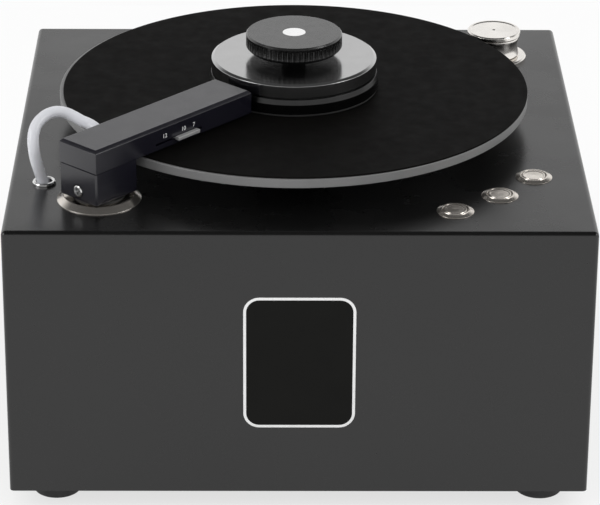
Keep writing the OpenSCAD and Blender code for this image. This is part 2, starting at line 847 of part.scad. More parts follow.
// Sole: the slotted plate that closes the beam below
module arm_sole() {
  w = chamber_w / 2 - sole_gap;
  color("#2e2e31") at_arm() difference() {
    box([chamber_x0 + sole_gap, -w, beam_z0], [chamber_x1 - sole_gap, w, beam_z0 + sole_t]);
    for (i = [0 : len(slit_starts) - 1])
      box([slit_starts[i], -slit_w / 2, beam_z0 - 1],
        [slit_ends[i], slit_w / 2, beam_z0 + sole_t + 1]);
    sole_screw_places() rod(sole_screw_d + 2 * run_gap, beam_z0 - 1, beam_z0 + sole_t + 1);
  }
}

module velvet_strips() {
  color("#0c0c0c") at_arm() for (y = [-1, 1])
    box([slit_starts[0], y * 3.2 - velvet_w / 2 + y * 0.2, beam_z0 - velvet_t],
      [slit_ends[2], y * 3.2 + velvet_w / 2 + y * 0.2, beam_z0]);
}

module sole_screws() {
  color("#8a8a8c") at_arm() sole_screw_places()
    rod(sole_screw_d, beam_z0, beam_z0 + sole_t + 6);
}

module arm_block() {
  color("#2e2e31") at_arm() difference() {
    translate([0, 0, block_z0]) linear_extrude(beam_z0 - block_z0)
      round_rect(block_len, beam_w, 0.8);
    rod(column_d + 0.02, block_z0 - 1, column_top + 0.5);
    translate([-beam_back - 1, 0, pinch_z]) rotate([0, 90, 0])
      cylinder(d = pinch_d + 2 * run_gap, h = beam_back);
    translate([-beam_back - 1, 0, pinch_z]) rotate([0, 90, 0])
      cylinder(d = pinch_head_d + 2 * run_gap, h = 1 + 0.8);
    block_screw_places() {
      rod(screw_d + 2 * run_gap, block_z0 - 1, beam_z0 + 1);
      rod(7.2, block_z0 - 1, block_z0 + 4);
    }
  }
}

// Screws of the block: one pinches the column, four hold the beam from below
module block_screws() {
  color("#b4b4b6") at_arm() {
    difference() {
      union() {
        translate([-beam_back, 0, pinch_z]) rotate([0, 90, 0])
          cylinder(d = pinch_d, h = beam_back - column_d / 2 - 0.3);
        translate([-beam_back - 0.8, 0, pinch_z]) rotate([0, 90, 0])
          cylinder(d = pinch_head_d, h = 1.6);
      }
      for (a = [0, 90]) translate([-beam_back - 0.8, 0, pinch_z]) rotate([a, 0, 0])
        box([-1, -0.5, -2.4], [1.1, 0.5, 2.4]);
    }
    block_screw_places() {
      rod(screw_d, block_z0 + 0.5, beam_z0 + 7);
      rod(7, block_z0 + 0.5, block_z0 + 4);
    }
  }
}

module arm_column() {
  color("#b8b8ba") at_pivot() {
    rod(column_d, bush_z0 - collar_h - 1, column_top);
    rod(shoulder_d, bush_top, block_z0);
  }
}

// Ring on the deck: a polished bevel outside and a lower flat ledge round the bush
module arm_base_ring() {
  inner = bush_d / 2 + run_gap;
  ledge = ring_d / 2 - ring_bevel - 0.4;
  color("#c9c5bf") at_pivot() rotate_extrude() polygon([[inner, deck_z],
    [ring_d / 2, deck_z], [ring_d / 2, deck_z + 0.4], [ring_d / 2 - ring_bevel, deck_z + ring_h],
    [ledge, deck_z + ring_h], [ledge, deck_z + ring_h - 1.2], [inner, deck_z + ring_h - 1.2]]);
}

module arm_bush() {
  color("#1b1b1c") at_pivot() difference() {
    union() {
      rod(bush_d, bush_z0, bush_top);
      rod(bush_d + 12, under_z - 5, under_z);
    }
    rod(column_d + 2 * run_gap, bush_z0 - 1, bush_top + 1);
  }
}

module column_collar() {
  color("#8f9092") at_pivot()
    tube_ring(collar_d, column_d + 0.02, bush_z0 - collar_h, bush_z0 - lie_gap);
}

tab_t = 2.2;
tab_in = 1.4;

// Slider: the tab outside, its neck in the slot and a foot on the shutter inside
module size_slider() {
  z = beam_z0 + slot_z;
  w = beam_w / 2;
  half = tab_len / 2;
  neck = half - 0.2;
  t = slide_t / 2;
  color("#c8c8ca") at_arm() {
    box([tab_mid - half, -w - tab_out, z - tab_t / 2], [tab_mid + half, -w - 0.2, z + tab_t / 2]);
    box([tab_mid - neck, -w - 0.3, z - t], [tab_mid + neck, -w + beam_wall + tab_in, z + t]);
    box([tab_mid - 4, -w + beam_wall + 0.4, beam_z0 + sole_t + shutter_t],
      [tab_mid + 4, -w + beam_wall + tab_in, z]);
  }
}

shutter_t = 0.8;

// Shutter: a strip on the sole that opens or closes the outer ports
module slot_shutter() {
  z = beam_z0 + sole_t;
  w = beam_w / 2;
  color("#b0b0b2") at_arm() difference() {
    union() {
      box([shutter_x0, -3, z], [shutter_x1, 3, z + shutter_t]);
      box([tab_mid - 4, -w + beam_wall + 0.3, z], [tab_mid + 4, 0, z + shutter_t]);
    }
    for (x = [shutter_x0 + 8, shutter_x1 - 8])
      translate([x, 0, 0]) rod(4 * port_r, z - 1, z + shutter_t + 1);
  }
}

module hose_nipple() {
  w = beam_w / 2;
  color("#d8d8da") at_arm() translate([nipple_along, w, nipple_z]) {
    rotate([-90, 0, 0]) cylinder(r = nipple_r, h = nipple_base - 0.6);
    rotate([-90, 0, 0]) translate([0, 0, -beam_wall]) cylinder(d = 3.9, h = beam_wall + 1);
    translate([0, nipple_base, 0]) {
      sphere(d = hose_d - 0.4);
      rotate([nipple_tilt - 90, 0, 0]) cylinder(d = hose_d - 0.4, h = nipple_tube);
    }
  }
}

// Unit vector of the hose nipple, and the middle of its end face
nipple_dir = [-sin(arm_angle) * cos(nipple_tilt), cos(arm_angle) * cos(nipple_tilt),
  sin(nipple_tilt)];
nipple_out = beam_w / 2 + nipple_base;
nipple_end = [arm_x + nipple_along * cos(arm_angle) - nipple_out * sin(arm_angle),
  arm_y + nipple_along * sin(arm_angle) + nipple_out * cos(arm_angle), nipple_z]
  + nipple_tube * nipple_dir;

module suction_hose() {
  route = concat([for (p = hose_points) p + [0, 0, deck_z]], [nipple_end]);
  color("#d5d6da") tube(route, hose_d / 2, 10, [0.25, 1, 0], [0, 0, 1], -nipple_dir);
}

module hose_socket() {
  color("#d8d8da") at_socket() difference() {
    union() {
      rod(socket_d - 1, deck_z, deck_z + socket_h);
      rod(socket_d, deck_z, deck_z + socket_h - 0.5);
      rod(socket_body_d, socket_bottom, deck_z + eps);
      rod(8, socket_bottom - 8, socket_bottom + eps);
    }
    rod(socket_bore, socket_ledge, deck_z + socket_h + 1);
    rod(4, socket_bottom - 9, socket_ledge + 1);
  }
}

module tank_hose() {
  start = socket_bottom - 8;
  route = concat([[socket_x, socket_y, start]],
    [for (s = tank_hose_steps) [socket_x, socket_y + s[0], s[1]]],
    [[socket_x, tank_y0 - 8, tank_in_z]]);
  color("#c8c9cd") tube(route, 4, 10, [1, 0, 0], [0, 0, -1], [0, 1, 0]);
}

module button_bezels() {
  r = bezel_d / 2;
  color("#b9b4ae") at_buttons() difference() {
    union() {
      rotate_extrude() polygon([[0, deck_z], [r, deck_z], [r, deck_z + 0.3],
        [ring_out_d / 2, deck_z + bezel_h], [0, deck_z + bezel_h]]);
      rod(switch_d, deck_z - switch_len, deck_z + eps);
      for (x = [-4, 4]) translate([x, 0, deck_z - switch_len])
        box([-0.4, -1.4, -6], [0.4, 1.4, eps]);
    }
    rod(ring_in_d, deck_z - 7 - button_travel, deck_z + bezel_h + 1);
  }
}

// Cap i: a dished disc on a skirt that runs in the bezel
module button_cap(i) {
  r = button_d / 2;
  skirt = ring_in_d / 2 - run_gap;
  color("#c9c4be") translate(button_at(i)) translate([0, 0, deck_z])
    rotate_extrude() polygon([[0, -6], [skirt, -6], [skirt, -1.5 - cap_skirt_gap],
      [r, -1.5], [r, bezel_h - 0.4], [r - 0.4, bezel_h], [r - 1.5, bezel_h],
      [0, bezel_h - 0.3]]);
}

module button_cap_1() { button_cap(1); }
module button_cap_2() { button_cap(2); }
module button_cap_3() { button_cap(3); }

module button_nuts() {
  color("#9a9a9c") at_buttons() difference() {
    translate([0, 0, under_z - nut_h]) cylinder(d = switch_d + 7, h = nut_h, $fn = 6);
    rod(switch_d + 0.04, under_z - nut_h - 1, under_z + 1);
  }
}

module dial_flange() {
  r = flange_d / 2;
  color("#c9c4be") at_dial() rotate_extrude() polygon([[4.6, deck_z], [r, deck_z],
    [r, deck_z + flange_h - 0.8], [r - 0.8, deck_z + flange_h], [4.6, deck_z + flange_h]]);
}

// Dial: a turned spool with a shallow dish and a centre mark in its top
module speed_dial() {
  r = dial_d / 2;
  top = deck_z + dial_h;
  waist = r - 1.6;
  bow = 26;
  color("#d0ccc6") at_dial() difference() {
    rotate_extrude() difference() {
      polygon([[0, dial_z0], [waist + 0.4, dial_z0], [r - 0.5, top - 3.4], [r, top - 2.9],
        [r, top - 0.8], [r - 0.8, top], [r - 2.2, top], [r - 2.6, top - 0.4],
        [0, top - 0.4]]);
      translate([waist + bow, (dial_z0 + top - 4) / 2]) circle(bow);
    }
    rod(dial_shaft_d + 0.02, dial_z0 - 1, top - 5);
    rod(1.5, top - 1, top + 1);
  }
}

module dial_shaft() {
  color("#c0c0c2") at_dial() rod(dial_shaft_d, under_z - 9, deck_z + dial_h - 5.3);
}

module speed_control() {
  color("#48607a") at_dial() difference() {
    union() {
      rod(24, under_z - 11, under_z - 1);
      rod(9, under_z - 1 - eps, deck_z + flange_h);
      rod(15, under_z - 1 - eps, under_z);
    }
    rod(dial_shaft_d + 2 * run_gap, under_z - 9.2, deck_z + flange_h + 1);
  }
}

module waste_tank() {
  x1 = tank_x0 + tank_w;
  top = floor_z + tank_h;
  color("#dfe3e6") difference() {
    union() {
      box([tank_x0, tank_y0, floor_z], [x1, tank_y1, top]);
      translate([port_x, port_y, 0]) rod(duct_d + 6, top - eps, top + 8);
      translate([socket_x, tank_y0 + eps, tank_in_z]) rotate([90, 0, 0])
        cylinder(d = 8, h = 8);
    }
    box([tank_x0 + tank_wall, tank_y0 + tank_wall, floor_z + tank_wall],
      [x1 - tank_wall, tank_y1 - tank_wall, top - tank_wall]);
    translate([port_x, port_y, 0]) rod(duct_d - 4, top - 5, top + 9);
    translate([socket_x, tank_y0 + 5, tank_in_z]) rotate([90, 0, 0]) cylinder(d = 4, h = 20);
  }
}

module vacuum_motor() {
  inner = fan_case_d - 4;
  color("#6d6e70") at_fan() difference() {
    union() {
      rod(88, floor_z, floor_z + 4);
      rod(76, floor_z, fan_z0 + eps);
      rod(fan_case_d, fan_z0, fan_z0 + fan_h);
      rod(duct_d + 6, fan_z0 + fan_h - eps, collar_z);
      box([0, fan_case_d / 2 - 26, fan_z0], [fan_case_d / 2 - 6, fan_case_d / 2 + 2,
        fan_z0 + fan_h]);
    }
    rod(inner, fan_z0 + 2, fan_z0 + fan_h - 2);
    rod(duct_d - 4, fan_z0 + fan_h - 3, collar_z + 1);
    rod(8 + 2 * run_gap, fan_z0 - 30, fan_z0 + 3);
    box([6, fan_case_d / 2 - 24, fan_z0 + 3], [fan_case_d / 2 - 9, fan_case_d / 2 + 3,
      fan_z0 + fan_h - 3]);
  }
}

vane_count = 9;

module vacuum_fan() {
  z0 = fan_z0 + 4;
  z1 = fan_z0 + fan_h - 4;
  r = fan_case_d / 2 - 6;
  color("#a8a9ab") at_fan() {
    rod(8, fan_z0 - 29, z0 + eps);
    rod(2 * r, z0, z0 + 1.5);
    rod(16, z0, z1 - 4);
    for (i = [0 : vane_count - 1]) rotate([0, 0, i * 360 / vane_count])
      translate([14, 6, 0]) rotate([0, 0, 25]) box([0, -0.75, z0 + 1], [r - 18, 0.75, z1 - 1]);
    tube_ring(2 * r, duct_d - 2, z1 - 1.5, z1);
  }
}

// Suction duct: rigid pipe with two block elbows, from the tank's port to the fan's intake
module suction_duct() {
  reach = fan_x - port_x;
  bore = duct_d - 4;
  tank_top = floor_z + tank_h + 8;
  color("#8d9094") translate([port_x, port_y, 0]) difference() {
    union() {
      rod(duct_d, tank_top, duct_z);
      translate([reach, 0, 0]) rod(duct_d, collar_z, duct_z);
      translate([0, 0, duct_z]) rotate([0, 90, 0]) cylinder(d = duct_d, h = reach);
      for (x = [0, reach]) translate([x, 0, duct_z]) cube(duct_d + 2, center = true);
    }
    rod(bore, tank_top - 1, duct_z + bore / 2);
    translate([reach, 0, 0]) rod(bore, collar_z - 1, duct_z + bore / 2);
    translate([-bore / 2, 0, duct_z]) rotate([0, 90, 0]) cylinder(d = bore, h = reach + bore);
  }
}

module control_board() {
  color("#2f6b45") translate([-70, -150, floor_z]) {
    for (x = [5, 85], y = [5, 55]) translate([x, y, 0]) rod(5, 0, 8 + eps);
    box([0, 0, 8], [90, 60, 9.6]);
    for (i = [0 : 2]) box([8 + i * 26, 34, 9.6 - eps], [26 + i * 26, 48, 24]);
    box([10, 6, 9.6 - eps], [44, 20, 13]);
    for (i = [0 : 3]) translate([56 + i * 8, 12, 0]) rod(6, 9.6 - eps, 20);
  }
}

module power_supply() {
  color("#a9abad") translate([32, -155, floor_z]) difference() {
    box([0, 0, 0], [112, 84, 38]);
    box([-1, 1.5, 1.5], [108, 82.5, 36.5]);
    for (i = [0 : 7]) translate([16 + i * 11, 12, 35]) cube([4, 60, 5]);
  }
}

cabinet();
base_plate();
case_screws();
feet();
foot_screws();
badge_plate();
rear_bay();
mains_inlet();
switch_frame();
power_rocker();
drain_valve();
drain_tap();
platter();
platter_mat();
spindle();
bearing_housing();
bearing_bushes();
thrust_washer();
platter_pulley();
drive_belt();
drive_motor();
motor_bracket();
motor_pulley();
clamp_base();
label_disc();
clamp_seal();
clamp_knob();
knob_cap();
clamp_nut();
arm_beam();
arm_sole();
velvet_strips();
sole_screws();
arm_block();
block_screws();
arm_column();
arm_base_ring();
arm_bush();
column_collar();
size_slider();
slot_shutter();
hose_nipple();
suction_hose();
hose_socket();
tank_hose();
button_bezels();
button_cap_1();
button_cap_2();
button_cap_3();
button_nuts();
dial_flange();
speed_dial();
dial_shaft();
speed_control();
waste_tank();
vacuum_motor();
vacuum_fan();
suction_duct();
control_board();
power_supply();
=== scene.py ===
# %% [markdown]
# # A record cleaning machine, finished in Blender
# The construction model gives the real sizes, the joints and every hidden piece. This lesson
# loads it as a fixed frame and makes the surfaces that the eye meets: lacquer, turned steel,
# anodised aluminium, a rubber mat and a silicone hose. All measures below are millimetres in
# the machine's own frame, with the floor at height 0, and are turned into metres only when a
# mesh is made.

import json
from math import atan2, cos, pi, radians, sin

import bmesh
import bpy
import numpy as np
from mathutils import Matrix, Vector


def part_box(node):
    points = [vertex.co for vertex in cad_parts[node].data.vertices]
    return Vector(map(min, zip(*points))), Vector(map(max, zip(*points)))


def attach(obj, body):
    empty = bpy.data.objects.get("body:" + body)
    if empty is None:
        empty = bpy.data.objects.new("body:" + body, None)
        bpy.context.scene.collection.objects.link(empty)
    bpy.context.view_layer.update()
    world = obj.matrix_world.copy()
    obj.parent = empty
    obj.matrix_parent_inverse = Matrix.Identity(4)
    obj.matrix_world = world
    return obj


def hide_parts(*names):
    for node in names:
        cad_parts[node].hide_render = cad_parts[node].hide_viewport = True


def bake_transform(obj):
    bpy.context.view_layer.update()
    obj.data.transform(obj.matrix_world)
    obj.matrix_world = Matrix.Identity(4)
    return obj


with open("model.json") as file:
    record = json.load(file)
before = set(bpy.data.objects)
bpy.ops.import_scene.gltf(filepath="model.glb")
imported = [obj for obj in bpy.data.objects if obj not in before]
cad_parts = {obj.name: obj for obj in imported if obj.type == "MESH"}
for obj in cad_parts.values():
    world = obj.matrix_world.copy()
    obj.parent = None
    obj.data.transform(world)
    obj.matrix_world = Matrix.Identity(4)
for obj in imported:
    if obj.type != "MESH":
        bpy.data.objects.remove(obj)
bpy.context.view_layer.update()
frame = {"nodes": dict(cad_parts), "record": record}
MM = 0.001

# %% [markdown]
# ## The camera
# The picture was taken from about 1.9 m in front and a little under a metre up, with a long
# lens, so that the sides of the cabinet lean only slightly. The place and the turns come from
# a fit of the cabinet's corners and the platter's outline. A camera looks along its own -Z,
# so its three axes are worked out as vectors and written into one matrix.

# %% Camera
EYE = (-19.33, -1889.29, 969.43)
YAW, PITCH, ROLL = 0.0112, 0.4327, 0.0065
SENSOR_WIDTH = 36.0
FOCAL_PIXELS, PICTURE_WIDTH = 3140.99, 600


def camera_axes(yaw, pitch, roll):
    """Right, up and backward axes of a camera turned, tipped down, and rolled last."""
    ahead = np.array([sin(yaw) * cos(pitch), cos(yaw) * cos(pitch), -sin(pitch)])
    level = np.array([cos(yaw), -sin(yaw), 0.0])
    over = np.cross(level, ahead)
    right = cos(roll) * level + sin(roll) * over
    above = -sin(roll) * level + cos(roll) * over
    return right, above, -ahead


def in_scene(name, data):
    """A new object in the scene, at the origin."""
    made = bpy.data.objects.new(name, data)
    bpy.context.scene.collection.objects.link(made)
    return made


camera = in_scene("camera", bpy.data.cameras.new("camera"))
camera.matrix_world = Matrix.Translation(Vector(EYE) * MM) @ Matrix(
    np.column_stack(camera_axes(YAW, PITCH, ROLL)).tolist()).to_4x4()
camera.data.sensor_width = SENSOR_WIDTH
camera.data.lens = SENSOR_WIDTH * FOCAL_PIXELS / PICTURE_WIDTH
camera.data.clip_start, camera.data.clip_end = 0.1, 30
bpy.context.scene.camera = camera
print("lens", round(camera.data.lens, 1), "mm")

# %% [markdown]
# ## Surfaces on a grid
# Nearly every piece here is turned on a lathe, milled from a block or bent from a tube. All
# three are the same idea: a row of points is carried along, and neighbouring rows are joined
# by four-sided faces. `skin` does the joining once, for every piece. A row that has shrunk to
# a point is closed as a pole, and a first or last row can be capped by one flat face.

# %% The skin of a grid
def ring_faces(rows, around, looped):
    """Corner numbers of the quads between neighbouring rows of a grid that closes on itself."""
    i = np.arange(rows if looped else rows - 1)[:, None]
    j = np.arange(around)[None, :]
    up, on = (i + 1) % rows, (j + 1) % around
    return np.stack([i * around + j, i * around + on, up * around + on, up * around + j],
                    axis=-1).reshape(-1, 4)


def skin(name, points, ends="cap", sharp=32.0):
    """Mesh object from points of shape (rows, around, 3) in millimetres.

    ends is "cap" for a flat face over the first and the last row, "loop" to join the last row
    to the first, or "open". A row whose points all meet becomes a single pole. The map
    "turn" holds the share of a turn and the distance along the profile, in metres."""
    rows, around, _ = points.shape
    quads = ring_faces(rows, around, ends == "loop")
    number = np.arange(rows * around)
    poles = np.ptp(points, axis=1).max(axis=1) < 1e-6
    number.reshape(rows, around)[poles] = number.reshape(rows, around)[poles, :1]
    corners = number[quads]
    short = corners == np.roll(corners, -1, axis=1)
    keep_four = ~short.any(axis=1)
    steps = np.linalg.norm(np.diff(points, axis=0), axis=2).mean(axis=1)
    along = np.concatenate([[0.0], np.cumsum(steps)])
    last = (np.linalg.norm(points[0] - points[-1], axis=1).mean() if ends == "loop" else 0)
    row, column = quads // around, quads % around
    share = column / around
    share[:, 1:3] = (column[:, :1] + 1) / around
    height = along[row]
    wrapped = row < row[:, :1]
    height[wrapped] = along[-1] + last
    faces = corners[keep_four].tolist()
    chart = [np.stack([share[keep_four], height[keep_four] * MM], axis=-1).reshape(-1, 2)]
    for three, keep in (((0, 1, 2), short[:, 2]), ((1, 2, 3), short[:, 0])):
        part = corners[keep][:, three]
        faces += part.tolist()
        chart.append(np.stack([share[keep][:, three], height[keep][:, three] * MM],
                              axis=-1).reshape(-1, 2))
    if ends == "cap":
        for first, flat in ((True, not poles[0]), (False, not poles[-1])):
            if flat:
                grid = number.reshape(rows, around)
                faces.append((grid[0][::-1] if first else grid[-1]).tolist())
                chart.append(np.tile([0.0, along[0 if first else -1] * MM], (around, 1)))
    mesh = bpy.data.meshes.new(name)
    mesh.from_pydata((points.reshape(-1, 3) * MM).tolist(), [], faces)
    layer = mesh.uv_layers.new(name="turn")
    layer.data.foreach_set("uv", np.concatenate(chart).astype(np.float32).ravel())
    return clean(in_scene(name, mesh), sharp)


def clean(piece, sharp=32.0):
    """Drops loose points and doubles, and shades the piece."""
    shape = bmesh.new()
    shape.from_mesh(piece.data)
    bmesh.ops.remove_doubles(shape, verts=shape.verts, dist=1e-7)
    loose = [v for v in shape.verts if not v.link_faces]
    bmesh.ops.delete(shape, geom=loose, context="VERTS")
    shape.to_mesh(piece.data)
    shape.free()
    return shaded(piece, sharp)


def shaded(piece, sharp=32.0):
    """Smooth shading, except over edges sharper than sharp degrees."""
    piece.data.shade_smooth()
    piece.data.set_sharp_from_angle(angle=radians(sharp))
    return piece


# %% Profiles with eased corners
STRIP = 0.12


def soften(corners, radii, steps=5, closed=False):
    """Rounds the corners of a flat outline, each by its own radius.

    With unit vectors u to the last corner and v to the next, the arc's centre lies on their
    bisector at radius / sin(half the angle), and the arc starts radius / tan(half the angle)
    along u. A narrow straight strip is kept on both sides of each arc, so that the wide flat
    faces next to it stay flat when they are shaded smooth."""
    p = np.asarray(corners, float)
    r = np.broadcast_to(np.asarray(radii, float), len(p)).copy()
    if not closed:
        r[[0, -1]] = 0
    u, v = np.roll(p, 1, axis=0) - p, np.roll(p, -1, axis=0) - p
    lu, lv = np.linalg.norm(u, axis=1)[:, None], np.linalg.norm(v, axis=1)[:, None]
    u, v = u / np.maximum(lu, 1e-9), v / np.maximum(lv, 1e-9)
    half = np.arccos(np.clip((u * v).sum(axis=1), -1, 1)) / 2
    bend = np.where((r > 0) & (half < pi / 2 - 1e-3), half, pi / 4)
    r = np.where((r > 0) & (half < pi / 2 - 1e-3), r, 0)
    middle = u + v
    middle = middle / np.maximum(np.linalg.norm(middle, axis=1)[:, None], 1e-9)
    centre = p + middle * (r / np.sin(bend))[:, None]
    reach = (r / np.tan(bend))[:, None]
    start, end = p + u * reach - centre, p + v * reach - centre
    sweep = (pi - 2 * bend)[:, None, None]
    t = np.linspace(0, 1, steps + 1)[None, :, None]
    arc = centre[:, None] + (np.sin((1 - t) * sweep) * start[:, None]
                             + np.sin(t * sweep) * end[:, None]) / np.sin(sweep)
    far = np.where(r > 0, STRIP, 0)[:, None]
    before = arc[:, 0] + u * np.minimum(far, 0.3 * lu)
    after = arc[:, -1] + v * np.minimum(far, 0.3 * lv)
    line = np.concatenate([before[:, None], arc, after[:, None]], axis=1).reshape(-1, 2)
    distinct = np.linalg.norm(np.diff(line, axis=0), axis=1) > 1e-6
    return line[np.concatenate([[True], distinct])]


def lathe(profile, centre=(0, 0), turns=128):
    """Points of a profile of (radius, height) turned round the upright line through centre:
    x is centre x plus radius times cosine, y is centre y plus radius times sine."""
    r, z = np.asarray(profile, float).T
    a = np.linspace(0, 2 * pi, turns, endpoint=False)
    return np.stack([centre[0] + r[:, None] * np.cos(a), centre[1] + r[:, None] * np.sin(a),
                     z[:, None] + 0 * a], axis=-1)


def turned_ring(name, corners, radii, centre=(0, 0), turns=128, steps=5):
    """A lathe piece with a bore: its outline is closed, anticlockwise in (radius, height)."""
    outline = soften(corners, radii, steps, closed=True)
    return skin(name, lathe(outline, centre, turns), ends="loop")


def slabs(rows, steps=5):
    """Points of a pile of rounded rectangles. A row is (z, x0, x1, y0, y1, corner radius); a
    corner is its centre plus the radius times cosine and sine over a quarter turn."""
    z, x0, x1, y0, y1, r = (c[:, None] for c in np.asarray(rows, float).T)
    quarter = np.linspace(0, pi / 2, steps + 1)
    a = np.concatenate([quarter + k * pi / 2 for k in range(4)])[None]
    right = np.repeat([1, 0, 0, 1], steps + 1)[None]
    back = np.repeat([1, 1, 0, 0], steps + 1)[None]
    x = np.where(right, x1 - r, x0 + r) + r * np.cos(a)
    y = np.where(back, y1 - r, y0 + r) + r * np.sin(a)
    return np.stack([x, y, z + 0 * x], axis=-1)


def drawn_in(plan, rows):
    """Rows for slabs of one plan (x0, x1, y0, y1). A row (z, inset, radius) moves every side
    of it in by the inset."""
    x0, x1, y0, y1 = plan
    return [(z, x0 + inset, x1 - inset, y0 + inset, y1 - inset, r) for z, inset, r in rows]


def block(x0, x1, y0, y1, z0, z1, ease=0.3, corner=None, steps=4):
    """Rows for slabs of a box whose top and bottom edges are eased by a quarter circle."""
    corner = ease if corner is None else corner
    t = np.linspace(0, pi / 2, steps + 1)
    inset = ease * (1 - np.sin(t))
    low = ease * (1 - np.cos(t))
    rows = [(z0, x0 + ease + 0.4, x1 - ease - 0.4, y0 + ease + 0.4, y1 - ease - 0.4, 0.02)] \
        if min(x1 - x0, y1 - y0) > 2 * ease + 1.2 else []
    rows += [(z0 + d, x0 + i, x1 - i, y0 + i, y1 - i, max(corner - i, 0.02))
             for i, d in zip(inset, low)]
    top = [(z0 + z1 - z, *rest) for z, *rest in rows[::-1]]
    return rows + top


def placed(points, origin=(0, 0, 0), x=(1, 0, 0), y=(0, 1, 0), z=(0, 0, 1)):
    """Points given in a piece's own axes, put into the machine's frame."""
    return np.asarray(points) @ np.array([x, y, z], float) + np.asarray(origin, float)


# %% [markdown]
# ## The suction hose
# A soft silicone tube of 7.2 mm carries the dirty fluid from the arm's nipple down into the
# cabinet. The route is the one of the construction model: out of the socket, straight up,
# over in one loose arch and down to the nipple beside the beam. A smooth curve through the
# points is cut into even steps, and each step carries a ring of points. The wall is a real
# one, with a bore, because light runs through the tube and the bore draws the pale streaks.

# %% Hose route
DECK = 189.7
PLATTER = np.array([-2.8, 7.0])
PIVOT = np.array([-123.1, -122.3])
ARM_TURN = atan2(PLATTER[1] - PIVOT[1], PLATTER[0] - PIVOT[0])
ARM_X = np.array([cos(ARM_TURN), sin(ARM_TURN), 0.0])
ARM_Y = np.array([-sin(ARM_TURN), cos(ARM_TURN), 0.0])
BEAM_Z = DECK + 25.45
NIPPLE_TILT = radians(25)
NIPPLE_DIR = ARM_Y * cos(NIPPLE_TILT) + np.array([0, 0, sin(NIPPLE_TILT)])
NIPPLE_FOOT = np.array([*PIVOT, 0]) + 22 * ARM_X + 19 * ARM_Y + [0, 0, BEAM_Z + 4.55]
NIPPLE_END = NIPPLE_FOOT + 6 * NIPPLE_DIR
HOSE_D, HOSE_BORE = 7.2, 4.6
HOSE_ROUTE = np.array([
    [-158.4, -99, -3], [-159.5, -99.6, 2.4], [-160.8, -100.6, 7.8], [-162.1, -101.7, 13.1],
    [-163.2, -102.4, 18.5], [-163.9, -102.5, 24], [-164.3, -101, 29.4],
    [-163.8, -98.1, 34.1], [-162, -94.2, 37.7], [-159, -90.2, 40], [-155.1, -86.5, 41.4],
    [-150.2, -83.8, 41.6], [-145, -82.4, 40.2], [-140, -82.6, 37.9], [-135.1, -84.1, 35.6],
    [-130.2, -86.3, 34.3]]) + [0, 0, DECK]


def even_curve(points, count, first=None, last=None):
    """A smooth curve through the points, in count even steps. Each span is a cubic whose end
    slopes are half the step between the neighbouring points; first and last fix the ends."""
    p = np.asarray(points, float)
    slope = np.gradient(p, axis=0)
    if first is not None:
        slope[0] = np.asarray(first) * np.linalg.norm(p[1] - p[0])
    if last is not None:
        slope[-1] = np.asarray(last) * np.linalg.norm(p[-1] - p[-2])
    t = np.linspace(0, 1, 21)[:-1, None, None]
    a, b, da, db = p[:-1], p[1:], slope[:-1], slope[1:]
    fine = ((2 * t**3 - 3 * t**2 + 1) * a + (t**3 - 2 * t**2 + t) * da
            + (3 * t**2 - 2 * t**3) * b + (t**3 - t**2) * db)
    fine = np.concatenate([fine.transpose(1, 0, 2).reshape(-1, 3), p[-1:]])
    far = np.concatenate([[0], np.cumsum(np.linalg.norm(np.diff(fine, axis=0), axis=1))])
    even = np.linspace(0, far[-1], count)
    return np.stack([np.interp(even, far, fine[:, k]) for k in range(3)], axis=-1)


def tube(route, radius, around=32, side=(0, 0, 1), last=None):
    """Rings of points square to a route. Each ring's axes come from the tangent and a side
    direction that is nowhere along it."""
    tangent = np.gradient(route, axis=0)
    if last is not None:
        tangent[-1] = last
    tangent /= np.linalg.norm(tangent, axis=1)[:, None]
    across = np.cross(np.asarray(side, float), tangent)
    across /= np.linalg.norm(across, axis=1)[:, None]
    over = np.cross(tangent, across)
    a = np.linspace(0, 2 * pi, around, endpoint=False)[None, :, None]
    return route[:, None] + radius * (np.cos(a) * across[:, None] + np.sin(a) * over[:, None])


hose_line = even_curve(np.vstack([HOSE_ROUTE, NIPPLE_END]), 97,
                       first=(-0.17, -0.05, 0.98), last=-NIPPLE_DIR)
HOSE_SIDE = (0.25, 1.0, 0.0)
outside = tube(hose_line, HOSE_D / 2, side=HOSE_SIDE, last=-NIPPLE_DIR)
inside = tube(hose_line, HOSE_BORE / 2, side=HOSE_SIDE, last=-NIPPLE_DIR)
hose = skin("suction_hose_tube", np.concatenate([outside, inside[::-1]]), ends="loop",
            sharp=60)
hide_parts("suction_hose")
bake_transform(hose)

# %% [markdown]
# ## Finishes
# A finish is a Principled shader with three things laid over it: a slow change of colour, a
# change of roughness from handling and cleaning, and a fine relief. All of them read Object
# coordinates in metres, so the grain has its real size on every piece. Values that don't
# change over the surface stay on the shader's own sockets.

# %% Material helpers
FINISH = {}


